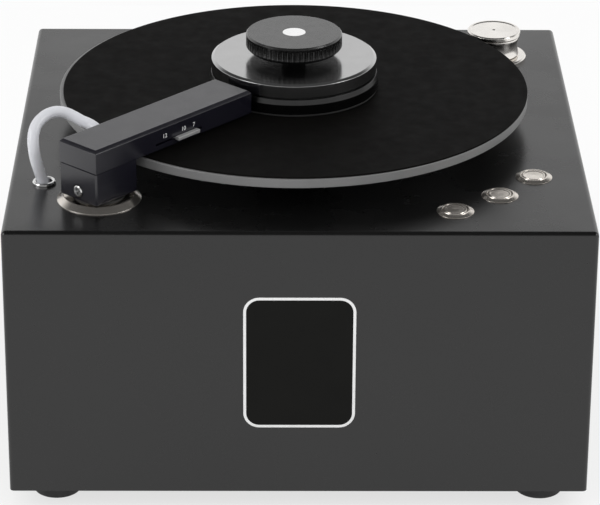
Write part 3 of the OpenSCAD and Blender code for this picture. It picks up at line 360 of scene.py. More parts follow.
class Finish:
    """A material in the making: a Principled shader, and short ways to add nodes to it."""

    def __init__(self, name, **sockets):
        self.name = name
        self.material = bpy.data.materials.new(name + "_finish")
        self.material.use_nodes = True
        self.nodes = self.material.node_tree.nodes
        self.links = self.material.node_tree.links
        self.nodes.clear()
        self.shader = self.nodes.new("ShaderNodeBsdfPrincipled")
        self.out = self.nodes.new("ShaderNodeOutputMaterial")
        self.links.new(self.shader.outputs[0], self.out.inputs[0])
        self.place = self.nodes.new("ShaderNodeTexCoord").outputs["Object"]
        for socket, value in sockets.items():
            self.shader.inputs[socket.replace("_", " ")].default_value = value

    def node(self, kind, inputs=(), **settings):
        made = self.nodes.new("ShaderNode" + kind)
        for key, value in settings.items():
            setattr(made, key, value)
        for key, value in dict(inputs).items():
            if isinstance(value, bpy.types.NodeSocket):
                self.links.new(value, made.inputs[key])
            else:
                made.inputs[key].default_value = value
        return made

    def grain(self, size, detail=3.0, stretch=(1, 1, 1)):
        """Noise from 0 to 1 whose patches are about size metres across."""
        place = self.place
        if stretch != (1, 1, 1):
            place = self.node("Mapping", {"Vector": place, "Scale": stretch}).outputs[0]
        return self.node("TexNoise", {"Vector": place, "Scale": 1 / size, "Detail": detail,
                                      "Roughness": 0.55}).outputs[0]

    def spread(self, value, low, high, start=0.3, end=0.7):
        """Value from start to end made to run from low to high."""
        return self.node("MapRange", {"Value": value, "From Min": start, "From Max": end,
                                      "To Min": low, "To Max": high}).outputs[0]

    def keep(self):
        """Puts the finished material into FINISH, by its slot. The frame has materials of its
        own with the slots' names, so the new ones are called by another."""
        FINISH[self.name] = self.material

    def colour(self, dark, light, factor):
        """A colour that goes from dark to light with the factor; a number is a grey."""
        dark, light = (c if isinstance(c, tuple) else (c, c, c) for c in (dark, light))
        made = self.node("Mix", {0: self.spread(factor, 0, 1), 6: (*dark, 1),
                                 7: (*light, 1)}, data_type="RGBA")
        self.links.new(made.outputs[2], self.shader.inputs["Base Color"])

    def roughness(self, low, high, factor):
        self.links.new(self.spread(factor, low, high), self.shader.inputs["Roughness"])

    def relief(self, height, depth):
        """A bump of depth metres for a height from 0 to 1."""
        made = self.node("Bump", {"Height": height, "Distance": depth, "Strength": 1.0})
        self.links.new(made.outputs[0], self.shader.inputs["Normal"])


def coated(name, dark, light, rough, patch=0.05, grain=0.0006, depth=6e-6, **sockets):
    """Paint, plastic, rubber or cast metal: slow patches of colour and roughness, and an even
    fine relief."""
    made = Finish(name, **sockets)
    slow = made.grain(patch, detail=4)
    made.colour(dark, light, slow)
    made.roughness(rough[0], rough[1], made.grain(patch * 0.45, detail=5))
    made.relief(made.grain(grain, detail=2), depth)
    made.keep()


def turned(name, dark, light, rough, line=0.00018, depth=1.2e-6, aniso=0.55, patch=0.012,
           **sockets):
    """Metal turned on a lathe. The fine tool marks run round the piece: they are noise that
    changes only along the profile, and the shader spreads highlights across them."""
    made = Finish(name, Metallic=1.0, Anisotropic=aniso, **sockets)
    chart = made.node("UVMap", uv_map="turn").outputs[0]
    split = made.node("SeparateXYZ", {0: chart})
    marks = made.node("TexNoise", {"W": made.node("Math", {0: split.outputs[1],
                      1: 1 / line}, operation="MULTIPLY").outputs[0], "Scale": 1.0,
                      "Detail": 3.0}, noise_dimensions="1D").outputs[0]
    slow = made.grain(patch, detail=3)
    both = made.node("Math", {0: marks, 1: slow}, operation="MULTIPLY").outputs[0]
    made.colour(dark, light, made.spread(both, 0.3, 0.7, 0.12, 0.4))
    made.roughness(rough[0], rough[1], marks)
    made.relief(marks, depth)
    tangent = made.node("Tangent", direction_type="UV_MAP", uv_map="turn")
    made.links.new(tangent.outputs[0], made.shader.inputs["Tangent"])
    made.keep()


def brushed(name, dark, light, rough, stretch=(1, 30, 1), grain=0.004, depth=2e-6,
            **sockets):
    """Metal with straight brush marks: noise squeezed in the directions across the marks."""
    made = Finish(name, Metallic=1.0, **sockets)
    marks = made.grain(grain, detail=4, stretch=stretch)
    made.colour(dark, light, marks)
    made.roughness(rough[0], rough[1], made.grain(0.03))
    made.relief(marks, depth)
    made.keep()


# %% [markdown]
# ### Lacquer, anodised aluminium and steel
# The cabinet has a satin black lacquer: nearly black in itself, it takes its grey from the
# white room that it mirrors. The arm and the knob are anodised, which keeps the metal's
# shine under a black skin. The trim is turned stainless steel with a warm tone.

# %% Finishes of this machine
coated("dark_steel", 0.0020, 0.0030, (0.24, 0.30), patch=0.09, grain=0.0007, depth=2.5e-6,
       IOR=1.57)
coated("black_steel", 0.02, 0.032, (0.42, 0.52), patch=0.03, depth=1e-5)
coated("zinc", (0.42, 0.42, 0.40), (0.55, 0.54, 0.50), (0.28, 0.42), patch=0.006,
       grain=0.0004, depth=3e-6, Metallic=1.0)
coated("foot_rubber", 0.010, 0.018, (0.55, 0.7), patch=0.01, grain=0.0005, depth=1.5e-5)
coated("badge_black", (0.0045, 0.0045, 0.0039), (0.0055, 0.0055, 0.0048), (0.3, 0.36),
       patch=0.02, grain=0.0009, depth=1e-6, Specular_IOR_Level=0.1)
coated("badge_white", 0.80, 0.86, (0.3, 0.4), patch=0.01, grain=0.0003, depth=1e-6)
coated("black_plastic", 0.018, 0.028, (0.4, 0.52), patch=0.01, grain=0.0005, depth=8e-6)
coated("red_plastic", (0.42, 0.018, 0.018), (0.52, 0.03, 0.025), (0.22, 0.3), patch=0.008,
       grain=0.0007, depth=3e-6)
brushed("brass", (0.58, 0.42, 0.19), (0.70, 0.54, 0.28), (0.2, 0.34), stretch=(1, 1, 1),
        grain=0.003)
coated("platter_alu", 0.185, 0.21, (0.42, 0.5), patch=0.03, grain=0.0004, depth=8e-6,
       Metallic=0.25)
coated("mat_rubber", (0.0030, 0.0027, 0.0024), (0.0038, 0.0034, 0.0030), (0.6, 0.72),
       patch=0.02, grain=0.0007, depth=1.2e-5, Specular_IOR_Level=0.06)
brushed("steel", 0.55, 0.68, (0.2, 0.32), stretch=(1, 1, 1))
coated("cast_alu", 0.36, 0.48, (0.4, 0.55), patch=0.012, grain=0.0011, depth=3e-5,
       Metallic=1.0)
coated("bronze", (0.42, 0.27, 0.12), (0.55, 0.38, 0.18), (0.35, 0.5), patch=0.004,
       grain=0.0003, depth=1e-5, Metallic=1.0)
coated("washer_plastic", (0.72, 0.71, 0.65), (0.82, 0.81, 0.76), (0.35, 0.45), patch=0.006)
coated("belt_rubber", 0.012, 0.02, (0.5, 0.65), patch=0.006, grain=0.0004, depth=8e-6)
coated("motor_can", 0.42, 0.52, (0.3, 0.4), patch=0.02, grain=0.0008, depth=4e-6, Metallic=1.0)
turned("clamp_grey", 0.030, 0.042, (0.2, 0.28), aniso=0.25)
turned("label_mirror", 0.44, 0.47, (0.15, 0.18), line=0.0006, aniso=0.0, depth=5e-8)
coated("knob_black", 0.003, 0.0045, (0.24, 0.29), patch=0.01, grain=0.0003, depth=1e-6,
       IOR=1.9)
# The knob's fluted side: a glossier black whose darker colour is painted shade for the flutes.
coated("flute_painted_shade", 0.0018, 0.003, (0.16, 0.2), patch=0.004, grain=0.0003, depth=8e-7,
       IOR=1.5)
turned("cap_bright", 0.9, 0.95, (0.1, 0.16), aniso=0.2, depth=3e-7)
coated("arm_black", (0.0045, 0.0042, 0.0085), (0.006, 0.0057, 0.0105), (0.22, 0.27),
       patch=0.02, grain=0.00035, depth=1e-6, IOR=1.64)
turned("turned_steel", (0.60, 0.56, 0.51), (0.80, 0.76, 0.71), (0.14, 0.22), aniso=0.6,
       depth=6e-7)
coated("tab_silver", 0.36, 0.44, (0.38, 0.46), Metallic=0.4)
turned("button_steel", (0.70, 0.65, 0.59), (0.86, 0.81, 0.75), (0.2, 0.28), aniso=0.1,
       depth=5e-7)
turned("dial_steel", (0.80, 0.77, 0.73), (0.92, 0.89, 0.85), (0.13, 0.2), aniso=0.55,
       depth=6e-7)
turned("nipple_steel", 0.72, 0.8, (0.1, 0.18), aniso=0.3)
coated("control_blue", (0.07, 0.13, 0.25), (0.11, 0.19, 0.33), (0.35, 0.45), patch=0.01)
coated("tank_plastic", (0.66, 0.69, 0.70), (0.76, 0.78, 0.79), (0.32, 0.42), patch=0.03,
       Transmission_Weight=0.25)
coated("board_green", (0.03, 0.13, 0.06), (0.05, 0.2, 0.09), (0.3, 0.4), patch=0.004,
       grain=0.0015, depth=2e-5)
brushed("fan_alu", 0.5, 0.62, (0.3, 0.4), stretch=(1, 1, 1))

# %% [markdown]
# ### Silicone and velvet
# Silicone is milky: it lets light in and scatters it. A shader that is part glass and part
# scattering gives the pale body with brighter rims. The velvet strips under the arm are a
# short pile, which the sheen socket imitates: bright at grazing angles and black face on.

# %% Soft finishes
silicone = Finish("silicone", Transmission_Weight=0.25, IOR=1.41, Sheen_Weight=0.2,
                  Sheen_Roughness=0.3)
silicone.colour((0.80, 0.81, 0.85), (0.86, 0.87, 0.91), silicone.grain(0.012))
silicone.roughness(0.16, 0.2, silicone.grain(0.012))
silicone.relief(silicone.grain(0.008, detail=1), 1e-5)
silicone.keep()

velvet = Finish("velvet", Sheen_Weight=0.6, Sheen_Roughness=0.4)
velvet.colour(0.005, 0.012, velvet.grain(0.0004, detail=2))
velvet.roughness(0.85, 0.95, velvet.grain(0.002))
velvet.relief(velvet.grain(0.0003, detail=2), 1.2e-4)
velvet.keep()
print("finishes:", len(FINISH))

# %% Put a piece to work
made_pieces = []


def fit(piece, body, slot, *nodes):
    """Gives a piece its finish, and says what body it rides on and which nodes it shows."""
    piece.data.materials.clear()
    piece.data.materials.append(FINISH[slot])
    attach(piece, body)
    if nodes:
        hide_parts(*nodes)
    slot = RECORD_SLOT.get(slot, slot)
    made_pieces.append(piece.name)
    return piece


RECORD_SLOT = {"dial_steel": "turned_steel", "button_steel": "turned_steel",
               "tab_silver": "steel"}
hose.data.materials.append(FINISH["silicone"])


def face_middles(piece):
    """The middle of every face, in metres."""
    middles = np.zeros(len(piece.data.polygons) * 3)
    piece.data.polygons.foreach_get("center", middles)
    return middles.reshape(-1, 3)


def joined(name, pieces):
    """Several meshes made one object, without reading or changing the selection."""
    shape = bmesh.new()
    for piece in pieces:
        shape.from_mesh(piece.data)
    mesh = pieces[0].data
    shape.to_mesh(mesh)
    shape.free()
    for piece in pieces[1:]:
        bpy.data.objects.remove(piece)
    pieces[0].name = name
    return pieces[0]


def cut(piece, cutters, sharp=32.0):
    """Takes the cutters out of a piece with an exact boolean, and removes them."""
    for cutter in cutters:
        tool = piece.modifiers.new("cut", "BOOLEAN")
        tool.operation, tool.solver, tool.object = "DIFFERENCE", "EXACT", cutter
        ready = piece.evaluated_get(bpy.context.evaluated_depsgraph_get())
        mesh = bpy.data.meshes.new_from_object(ready)
        piece.modifiers.clear()
        piece.data = mesh
        bpy.data.objects.remove(cutter)
    return shaded(piece, sharp)


# %% [markdown]
# ## Cabinet
# The real case is a bent and welded steel shell with a flat deck. Its outline is a rounded
# rectangle that is carried up the walls and drawn in over the 3 mm edge. Going up inside
# first and then outside gives the wall its thickness. The window at the back, the cooling
# slots and the holes for the fittings are then cut out.

# %% Cabinet shell
W2, D2, EDGE, WALL, FOOT, UNDER = 180.0, 173.5, 3.0, 2.0, 13.0, 186.7


bend = np.radians(np.linspace(0, 86, 9))
rows = [(UNDER, WALL + 4, 0.05), (UNDER, WALL, 1.0), (FOOT, WALL, 1.0), (FOOT, 0, EDGE),
        (FOOT + 1, 0, EDGE), (DECK - EDGE - 0.5, 0, EDGE)]
rows += [(DECK - EDGE + EDGE * sin(b), EDGE * (1 - cos(b)), EDGE * cos(b)) for b in bend]
rows += [(DECK, EDGE + 0.4, 0.05)]
cabinet = skin("cabinet_shell", slabs(drawn_in((-W2, W2, -D2, D2), rows), steps=8))
CONTROL_CIRCLE = 177.4


def control_at(angle):
    """Centre of a control on its circle round the platter's axis."""
    return PLATTER + CONTROL_CIRCLE * np.array([cos(radians(angle)), sin(radians(angle))])


BUTTONS = [control_at(a) for a in (-56.6, -44.6, -32.6)]
DIAL = control_at(39.3)
SOCKET = np.array([-158.4, -99.0])
BADGE_TOP, BADGE_W, BADGE_H, BADGE_R, BADGE_T = DECK - 43, 69.0, 89.0, 10.0, 1.0
badge_mid = BADGE_TOP - BADGE_H / 2
FRONT_AXES = dict(origin=(0, -D2, badge_mid), x=(1, 0, 0), y=(0, 0, 1), z=(0, -1, 0))


def front_plate(name, w, h, r, rows):
    """A rounded plate on the front face, from rows of (depth behind the face, inset)."""
    rows = [(-depth, inset, max(r - inset, 0.05)) for depth, inset in rows]
    points = slabs(drawn_in((-w / 2, w / 2, -h / 2, h / 2), rows), steps=10)
    return skin(name, placed(points, **FRONT_AXES))


cutters = [skin("cutter", lathe([(r, UNDER - 1), (r, DECK + 1)], c, 64)) for r, c in
           [(18.05, PLATTER), (16.05, PIVOT), (6.05, SOCKET), (4.55, DIAL)]
           + [(9.55, b) for b in BUTTONS]]
cutters.append(front_plate("cutter", BADGE_W, BADGE_H, BADGE_R, [(BADGE_T, 0), (-1, 0)]))
cutters.append(skin("cutter", slabs([(z, -120, 60, D2 - 4, D2 + 1, 0.05)
                                     for z in (30, 80)])))
cutters += [skin("cutter", slabs([(z, x - 1.5, x + 1.5, D2 - 3, D2 + 1, 1.4)
                                  for z in (95, 129)])) for x in 100 + 9.0 * np.arange(-3, 4)]
cut(cabinet, cutters)
fit(cabinet, "cabinet_set", "dark_steel", "cabinet")
print("cabinet faces", len(cabinet.data.polygons))

# %% [markdown]
# ### Badge
# A printed plate lies flush in a pocket of the front wall. Its edge carries a white border
# line, and its field is left bare. One plate is made with its face drawn in by two rows, and
# the faces between those rows take the white print.

# %% Badge plate
BORDER = 1.8
badge = front_plate("badge_face", BADGE_W - 0.1, BADGE_H - 0.1, BADGE_R - 0.05,
                    [(BADGE_T, 0.3), (BADGE_T, 0), (0.16, 0), (0.08, 0.05), (0.05, 0.12),
                     (0.05, BORDER), (0.05, BORDER + 0.3)])
fit(badge, "cabinet_set", "badge_black", "badge_plate")
badge.data.materials.append(FINISH["badge_white"])
middles = face_middles(badge) / MM - [0, -D2, badge_mid]
reach = [BADGE_W / 2 - BADGE_R, BADGE_H / 2 - BADGE_R]
corner = np.maximum(np.abs(middles[:, [0, 2]]) - reach, 0)
beyond = BADGE_R - np.where(corner.min(axis=1) > 0, np.hypot(*corner.T), corner.max(axis=1))
white = (beyond < BORDER) & (middles[:, 1] < 0.14)
badge.data.polygons.foreach_set("material_index", white.astype(np.int32))

# %% [markdown]
# ### Feet
# Four turned rubber feet with an eased lower edge and a recess for their screws.

# %% Feet
FOOT_INSET = 28.0
foot_profile = soften([(2.55, 6), (6, 6), (6, 0), (15, 0), (15, 13), (2.55, 13)],
                      [0, 0.3, 0.4, 1.6, 0.5, 0], steps=6)
feet = joined("rubber_feet", [
    skin("foot", lathe(foot_profile, (x * (W2 - FOOT_INSET), y * (D2 - FOOT_INSET)), 72),
         ends="loop") for x in (-1, 1) for y in (-1, 1)])
fit(feet, "cabinet_set", "foot_rubber", "feet")

# %% [markdown]
# ## Platter and mat
# The platter is a disc turned from aluminium plate, 5.8 mm thick, on a hub that carries it
# above the deck. The black mat lies loose on it, a little to the right of the axis, as it
# does in the photograph.

# %% Platter and mat
PLATTER_Z, MAT_Z = DECK + 16.5, DECK + 23.3
platter = turned_ring("platter_disc", [
    (8.05, 194.2), (30, 194.2), (30, PLATTER_Z), (151.5, PLATTER_Z), (151.5, MAT_Z - 1),
    (8.05, MAT_Z - 1)], [0, 0.5, 0.8, 0.45, 0.45, 0], PLATTER, 360)
fit(platter, "platter_set", "platter_alu", "platter")
MAT_MIDDLE = PLATTER + [1.1, 0]
mat = turned_ring("record_mat", [
    (4.85, MAT_Z - 1), (150.3, MAT_Z - 1), (150.3, MAT_Z), (4.85, MAT_Z)],
    [0, 0.15, 0.35, 0.2], MAT_MIDDLE, 360, steps=4)
fit(mat, "platter_set", "mat_rubber", "platter_mat")

# %% [markdown]
# ## Label clamp
# The clamp screws down on the spindle and keeps the fluid off the record's label. A dark
# turned base stands on a rubber ring; a polished disc lies over it with a dark groove
# between them. The edges are small quarter circles, because they draw the thin bright lines
# that show the two discs apart.

# %% Clamp base, seal and label disc
BASE0, BASE1, DISC0, DISC1 = 214.5, 224.2, 225.3, 234.2
base = turned_ring("clamp_base_disc", [
    (3.6, BASE0), (14, BASE0), (14, BASE0 + 4), (44.7, BASE0 + 4), (44.7, BASE0),
    (54.7, BASE0), (54.7, BASE1 - 3.2), (53.5, BASE1), (13, BASE1), (13, BASE1 - 2),
    (3.6, BASE1 - 2)], [0, 0.3, 0.3, 0.3, 0.3, 0.35, 0.5, 0.3, 0.2, 0.2, 0], PLATTER, 240)
fit(base, "label_clamp", "clamp_grey", "clamp_base")
seal = turned_ring("clamp_seal_ring", [
    (46.7, MAT_Z), (54.2, MAT_Z), (54.2, BASE0), (46.7, BASE0)], 0.4, PLATTER, 200)
fit(seal, "label_clamp", "foot_rubber", "clamp_seal")
disc = turned_ring("label_cover", [
    (13, BASE1), (50, BASE1), (50, DISC0), (53.3, DISC0), (53.3, DISC1 - 1.1),
    (51.5, DISC1), (8.05, DISC1), (8.05, BASE1 + 3.7), (13, BASE1 + 3.7)],
    [0, 0, 0.2, 0.25, 0.35, 0.35, 0.2, 0, 0], PLATTER, 240)
fit(disc, "label_clamp", "label_mirror", "label_disc")

# %% [markdown]
# ### The fluted knob
# 58 flutes are milled round the knob with a ball-ended cutter, so each one ends in a small
# round hollow below the smooth top band. The cutter's centre runs 0.35 mm outside the rim.
# At a distance s round the rim from a flute's middle and h above its end, the cutter reaches
# in to the rim plus 0.35 less the square root of (radius squared - s squared - h squared),
# and the knob keeps whichever is smaller, its own radius or that. The top is a smooth satin
# black; the side below it takes a glossier black whose colour is darkened as painted shade,
# so that the flutes show as dark hollows between thin bright lines.

# %% Knob
FLUTES, FLUTE_R, FLUTE_OUT, FLUTE_TOP = 58, 1.25, 0.35, 3.3
KNOB0, KNOB1, KNOB_R = 238.7, 250.0, 31.0
RIM_SAMPLES = np.array([-1.45, -1.25, -1.18, -1.05, -0.85, -0.6, -0.3, 0, 0.3, 0.6, 0.85, 1.05,
                        1.18, 1.25, 1.45, 1.68])


def fluted(profile, centre):
    """Turned points whose radius is cut back by the flutes."""
    pitch = 2 * pi / FLUTES
    a = (np.arange(FLUTES)[:, None] * pitch + RIM_SAMPLES / KNOB_R).ravel()
    s = np.tile(RIM_SAMPLES, FLUTES)
    r, z = np.asarray(profile).T
    above = np.maximum(z - (KNOB1 - FLUTE_TOP), 0)
    left = FLUTE_R**2 - s[None]**2 - above[:, None]**2
    floor = np.where(left > 0, KNOB_R + FLUTE_OUT - np.sqrt(np.maximum(left, 0)), 99.0)
    side = (r > 12)[:, None] & (z < KNOB1 - 1)[:, None]
    reach = np.where(side, np.minimum(r[:, None], floor), r[:, None])
    return np.stack([centre[0] + reach * np.cos(a), centre[1] + reach * np.sin(a),
                     z[:, None] + 0 * reach], axis=-1)


knob_side = soften([(8, KNOB0), (28.5, KNOB0), (31, KNOB0 + 2.5), (31, KNOB1 - 1)],
                   [0, 0.9, 1.2, 0], steps=5)
levels = np.concatenate([np.linspace(KNOB0 + 3.6, KNOB1 - 3.4, 5),
                         np.linspace(KNOB1 - 3.2, KNOB1 - 1.7, 9)])
knob_side = np.concatenate([knob_side[:-2], np.column_stack([np.full(14, 31.0), levels])])
knob_top = soften([(31, KNOB1 - 1.4), (31, KNOB1 - 1), (30.1, KNOB1), (7.5, KNOB1),
                   (7.5, KNOB1 - 1), (5, KNOB1 - 1), (5, 229.2), (8, 229.2), (8, KNOB0)],
                  [0, 0.25, 0.25, 0.12, 0, 0, 0, 0, 0], steps=4)
knob = skin("fluted_knob", fluted(np.vstack([knob_side, knob_top[:-1]]), PLATTER),
            ends="loop", sharp=40)
fit(knob, "clamp_screw", "knob_black", "clamp_knob")
# The side below the top band takes the darker black: painted shade, so the flutes read as dark
# hollows.
knob.data.materials.append(FINISH["flute_painted_shade"])
lower = face_middles(knob)[:, 2] < (KNOB1 - 0.9) * MM
knob.data.polygons.foreach_set("material_index", lower.astype(np.int32))
cap = skin("knob_centre", lathe(soften(
    [(0, KNOB1 - 2), (4.95, KNOB1 - 2), (4.95, KNOB1 - 1), (7.45, KNOB1 - 1),
     (7.45, KNOB1 - 0.02), (0, KNOB1 - 0.02)], [0, 0, 0, 0, 0.15, 0]), PLATTER, 96))
fit(cap, "clamp_screw", "cap_bright", "knob_cap")

# %% [markdown]
# ## Vacuum arm
# The beam is a milled channel, closed below by a slotted sole. A pile of rounded rectangles
# goes up inside the chamber, out round the mouth and up the outer walls to the bevel. The
# slot of the record-size slider is cut through the right-hand wall.

# %% Beam
ARM_AXES = dict(origin=(*PIVOT, 0), x=ARM_X, y=ARM_Y, z=(0, 0, 1))
BACK, AHEAD, HALF, TOP, BEVEL = 17.65, 119.5, 16.0, 230.4, 1.75
CH0, CH1, CHW, ROOF = 19.0, 117.0, 13.5, 227.9


ease = 0.22
rows = drawn_in((CH0, CH1, -CHW, CHW), [(ROOF, 1, 0.5), (ROOF, 0, 0.6), (BEAM_Z, 0, 0.6)])
rows += drawn_in((-BACK, AHEAD, -HALF, HALF), [
    (BEAM_Z, 0.6, 0.3), (BEAM_Z, ease, 0.3), (BEAM_Z + 0.07, 0.07, 0.3),
    (BEAM_Z + ease, 0, 0.3), (BEAM_Z + 0.6, 0, 0.3), (TOP - BEVEL - 0.35, 0, 0.3),
    (TOP - BEVEL - 0.12, 0, 0.3), (TOP - BEVEL, 0.04, 0.3), (TOP - BEVEL + 0.1, 0.12, 0.3),
    (TOP - 0.1, BEVEL - 0.1, 0.3), (TOP - 0.02, BEVEL, 0.3), (TOP, BEVEL + 0.12, 0.25),
    (TOP, BEVEL + 0.5, 0.2)])
beam = skin("beam_channel", placed(slabs(rows, steps=4), **ARM_AXES), sharp=28)
SLOT_Z = BEAM_Z + 3.95
slot_cutter = skin("cutter", placed(
    slabs([(z, 33.6, 74.3, SLOT_Z - 0.65, SLOT_Z + 0.65, 0.62) for z in (12, 17)], steps=6),
    origin=(*PIVOT, 0), x=ARM_X, y=(0, 0, 1), z=-ARM_Y))
nipple_cutter = skin("cutter", placed(lathe([(2.0, -4), (2.0, 1)], turns=32),
                                      origin=NIPPLE_FOOT - 3 * ARM_Y, x=-ARM_X,
                                      y=(0, 0, 1), z=ARM_Y))
cut(beam, [slot_cutter, nipple_cutter], sharp=28)
fit(beam, "vacuum_arm", "arm_black", "arm_beam")

# %% Block and its screws
BLOCK_Z, PINCH_Z, CHAMFER = DECK + 4.76, DECK + 10.4, 1.0


BORE, BORE_TOP = 10.2, 211.65
rows = drawn_in((-BORE, BORE, -BORE, BORE), [(BORE_TOP, 0, 5.9), (BLOCK_Z, 0, 5.9)])
rows += drawn_in((-BACK, BACK, -HALF, HALF), [
    (BLOCK_Z, 0.6, CHAMFER - 0.2), (BLOCK_Z, ease, CHAMFER), (BLOCK_Z + 0.07, 0.07, CHAMFER),
    (BLOCK_Z + ease, 0, CHAMFER), (BLOCK_Z + 0.6, 0, CHAMFER), (BEAM_Z - 0.8, 0, CHAMFER),
    (BEAM_Z - 0.38, 0, CHAMFER), (BEAM_Z - 0.3, 0.1, CHAMFER), (BEAM_Z, 0.4, CHAMFER - 0.2),
    (BEAM_Z, 0.8, CHAMFER - 0.4)])
arm_block = skin("arm_carrier", placed(slabs(rows, steps=1), **ARM_AXES), sharp=28)
PINCH_AXES = dict(origin=np.array([*PIVOT, PINCH_Z]) - BACK * ARM_X, x=-ARM_Y, y=(0, 0, 1),
                  z=-ARM_X)
sink = skin("cutter", placed(lathe([(4.35, -1.8), (4.35, 1)], turns=64), **PINCH_AXES))
cut(arm_block, [sink], sharp=28)
fit(arm_block, "vacuum_arm", "arm_black", "arm_block")

head = skin("pinch_screw", placed(lathe(soften(
    [(0, -7), (2.5, -7), (2.5, -0.8), (3.7, -0.8), (3.7, 0.2), (3.0, 0.8), (0, 0.8)],
    [0, 0.2, 0, 0, 0.3, 0.3, 0]), turns=64), **PINCH_AXES))
cross = []
for turn in (0, 90):
    arms = slabs([(z, -w, w, -0.62, 0.62, 0.1) for z, w in ((-1.9, 1.4), (1.2, 2.5))])
    a = radians(turn + 20)
    spin = dict(x=(cos(a), sin(a), 0), y=(-sin(a), cos(a), 0), z=(0, 0, 1))
    cross.append(skin("cutter", placed(placed(arms, **spin), **PINCH_AXES)))
cut(head, cross)
under = []
for x in (-12.85, 12.85):
    for y in (-11.6, 11.6):
        under.append(skin("screw", placed(lathe(soften(
            [(0, BLOCK_Z + 2.6), (1.6, BLOCK_Z + 2.6), (1.6, BLOCK_Z + 0.5),
             (3.5, BLOCK_Z + 0.5), (3.5, BLOCK_Z + 4), (2, BLOCK_Z + 4), (2, BEAM_Z + 7),
             (0, BEAM_Z + 7)], [0, 0, 0.1, 0.4, 0.2, 0, 0.3, 0]), (x, y), 36),
            **ARM_AXES)))
screws = joined("arm_screws", [head] + under)
shaded(screws)
fit(screws, "vacuum_arm", "steel", "block_screws")

# %% [markdown]
# ### Velvet strips
# Two strips of short velvet on the sole touch the record. They are narrow pads with round
# shoulders.

# %% Velvet strips
strips = joined("velvet_pads", [
    skin("strip", placed(slabs(block(27, 113, *sorted((y * 1.4, y * 5.4)),
                                     BEAM_Z - 0.6, BEAM_Z, ease=0.25, corner=0.6)),
                         **ARM_AXES)) for y in (-1, 1)])
fit(strips, "vacuum_arm", "velvet", "velvet_strips")

# %% [markdown]
# ### Column, bush and ring
# The arm turns on a steel column in a black bush. A bevelled steel ring on the deck frames
# the bush. Its wide bevel is turned, so it spreads the lights into bright and dark sectors.

# %% Column, bush and ring
BUSH_TOP = DECK + 3.4
SEAT_Z = BUSH_TOP + 0.03
column = skin("arm_pillar", lathe(soften(
    [(0, 117), (10, 117), (10, SEAT_Z), (14, SEAT_Z), (14, BLOCK_Z), (10, BLOCK_Z),
     (10, BORE_TOP), (0, BORE_TOP)], [0, 0.5, 0, 0.15, 0.15, 0, 0.5, 0]), PIVOT, 96))
fit(column, "vacuum_arm", "turned_steel", "arm_column")
bush = turned_ring("pivot_bush", [
    (10.05, 126), (16, 126), (16, UNDER - 5), (22, UNDER - 5), (22, UNDER), (16, UNDER),
    (16, BUSH_TOP), (10.05, BUSH_TOP)], [0, 0.4, 0, 0.3, 0, 0, 0.3, 0.2], PIVOT, 96)
fit(bush, "cabinet_set", "black_plastic", "arm_bush")
RING_R, RING_TOP = 26.0, DECK + 3.8
ring = turned_ring("deck_ring", [
    (16.05, DECK), (RING_R, DECK), (RING_R, DECK + 0.4), (RING_R - 3.7, RING_TOP),
    (RING_R - 4.1, RING_TOP), (RING_R - 4.1, RING_TOP - 1.2), (16.05, RING_TOP - 1.2)],
    [0, 0, 0.15, 0.15, 0.12, 0.1, 0.2], PIVOT, 200)
fit(ring, "cabinet_set", "turned_steel", "arm_base_ring")

# %% [markdown]
# ### Record-size slider
# A small steel tab runs in the slot. Plain numbers on the beam give the record's diameter in
# inches; they are white print, made from Blender's own letters and laid on the wall.

# %% Slider and numbers
TAB_MID, TAB_LEN, TAB_OUT, TAB_T = 60.0, 19.0, 3.5, 2.2
tab = skin("slider_tab", placed(slabs(block(
    TAB_MID - TAB_LEN / 2, TAB_MID + TAB_LEN / 2, -HALF - TAB_OUT, -HALF - 0.2,
    SLOT_Z - TAB_T / 2, SLOT_Z + TAB_T / 2, ease=0.3, corner=0.4)), **ARM_AXES))
neck = skin("slider_neck", placed(slabs(block(
    TAB_MID - 9.3, TAB_MID + 9.3, -HALF - 0.3, -12.1, SLOT_Z - 0.5, SLOT_Z + 0.5,
    ease=0.05)), **ARM_AXES))
foot = skin("slider_foot", placed(slabs(block(
    TAB_MID - 4, TAB_MID + 4, -13.1, -12.1, BEAM_Z + 2.4, SLOT_Z, ease=0.05)), **ARM_AXES))
slider = joined("size_slider_tab", [tab, neck, foot])
shaded(slider)
fit(slider, "record_size_slider", "tab_silver", "size_slider")


def print_on(name, text, size, middle, x, y, z):
    """Flat letters as a mesh, centred on a point with its own x and y directions."""
    curve = bpy.data.curves.new(name, "FONT")
    curve.body, curve.size, curve.extrude = text, size, 0.0
    curve.align_x, curve.align_y = "CENTER", "CENTER"
    letters = in_scene(name, curve)
    ready = letters.evaluated_get(bpy.context.evaluated_depsgraph_get())
    mesh = bpy.data.meshes.new_from_object(ready)
    bpy.data.objects.remove(letters)
    points = np.zeros(len(mesh.vertices) * 3)
    mesh.vertices.foreach_get("co", points)
    points = placed(points.reshape(-1, 3), middle, x, y, z) * MM
    mesh.vertices.foreach_set("co", points.ravel())
    return in_scene(name, mesh)


LABEL_Z, PRINT_OUT = DECK + 33.3, 0.03
numbers = joined("size_numbers", [
    print_on("number", text, 4.0, (*PIVOT, LABEL_Z) + along * ARM_X
             - (HALF + PRINT_OUT) * ARM_Y, ARM_X, (0, 0, 1), -ARM_Y)
    for text, along in (("12", 41.7), ("10", 58.2), ("7", 67.2))])
fit(numbers, "vacuum_arm", "badge_white")

# %% [markdown]
# ### Nipple and deck socket
# The nipple is a small polished elbow: a collar on the beam's wall, a ball, and a short stem
# that points into the hose. The deck socket is a polished ring with a bore that swallows the
# hose's other end.

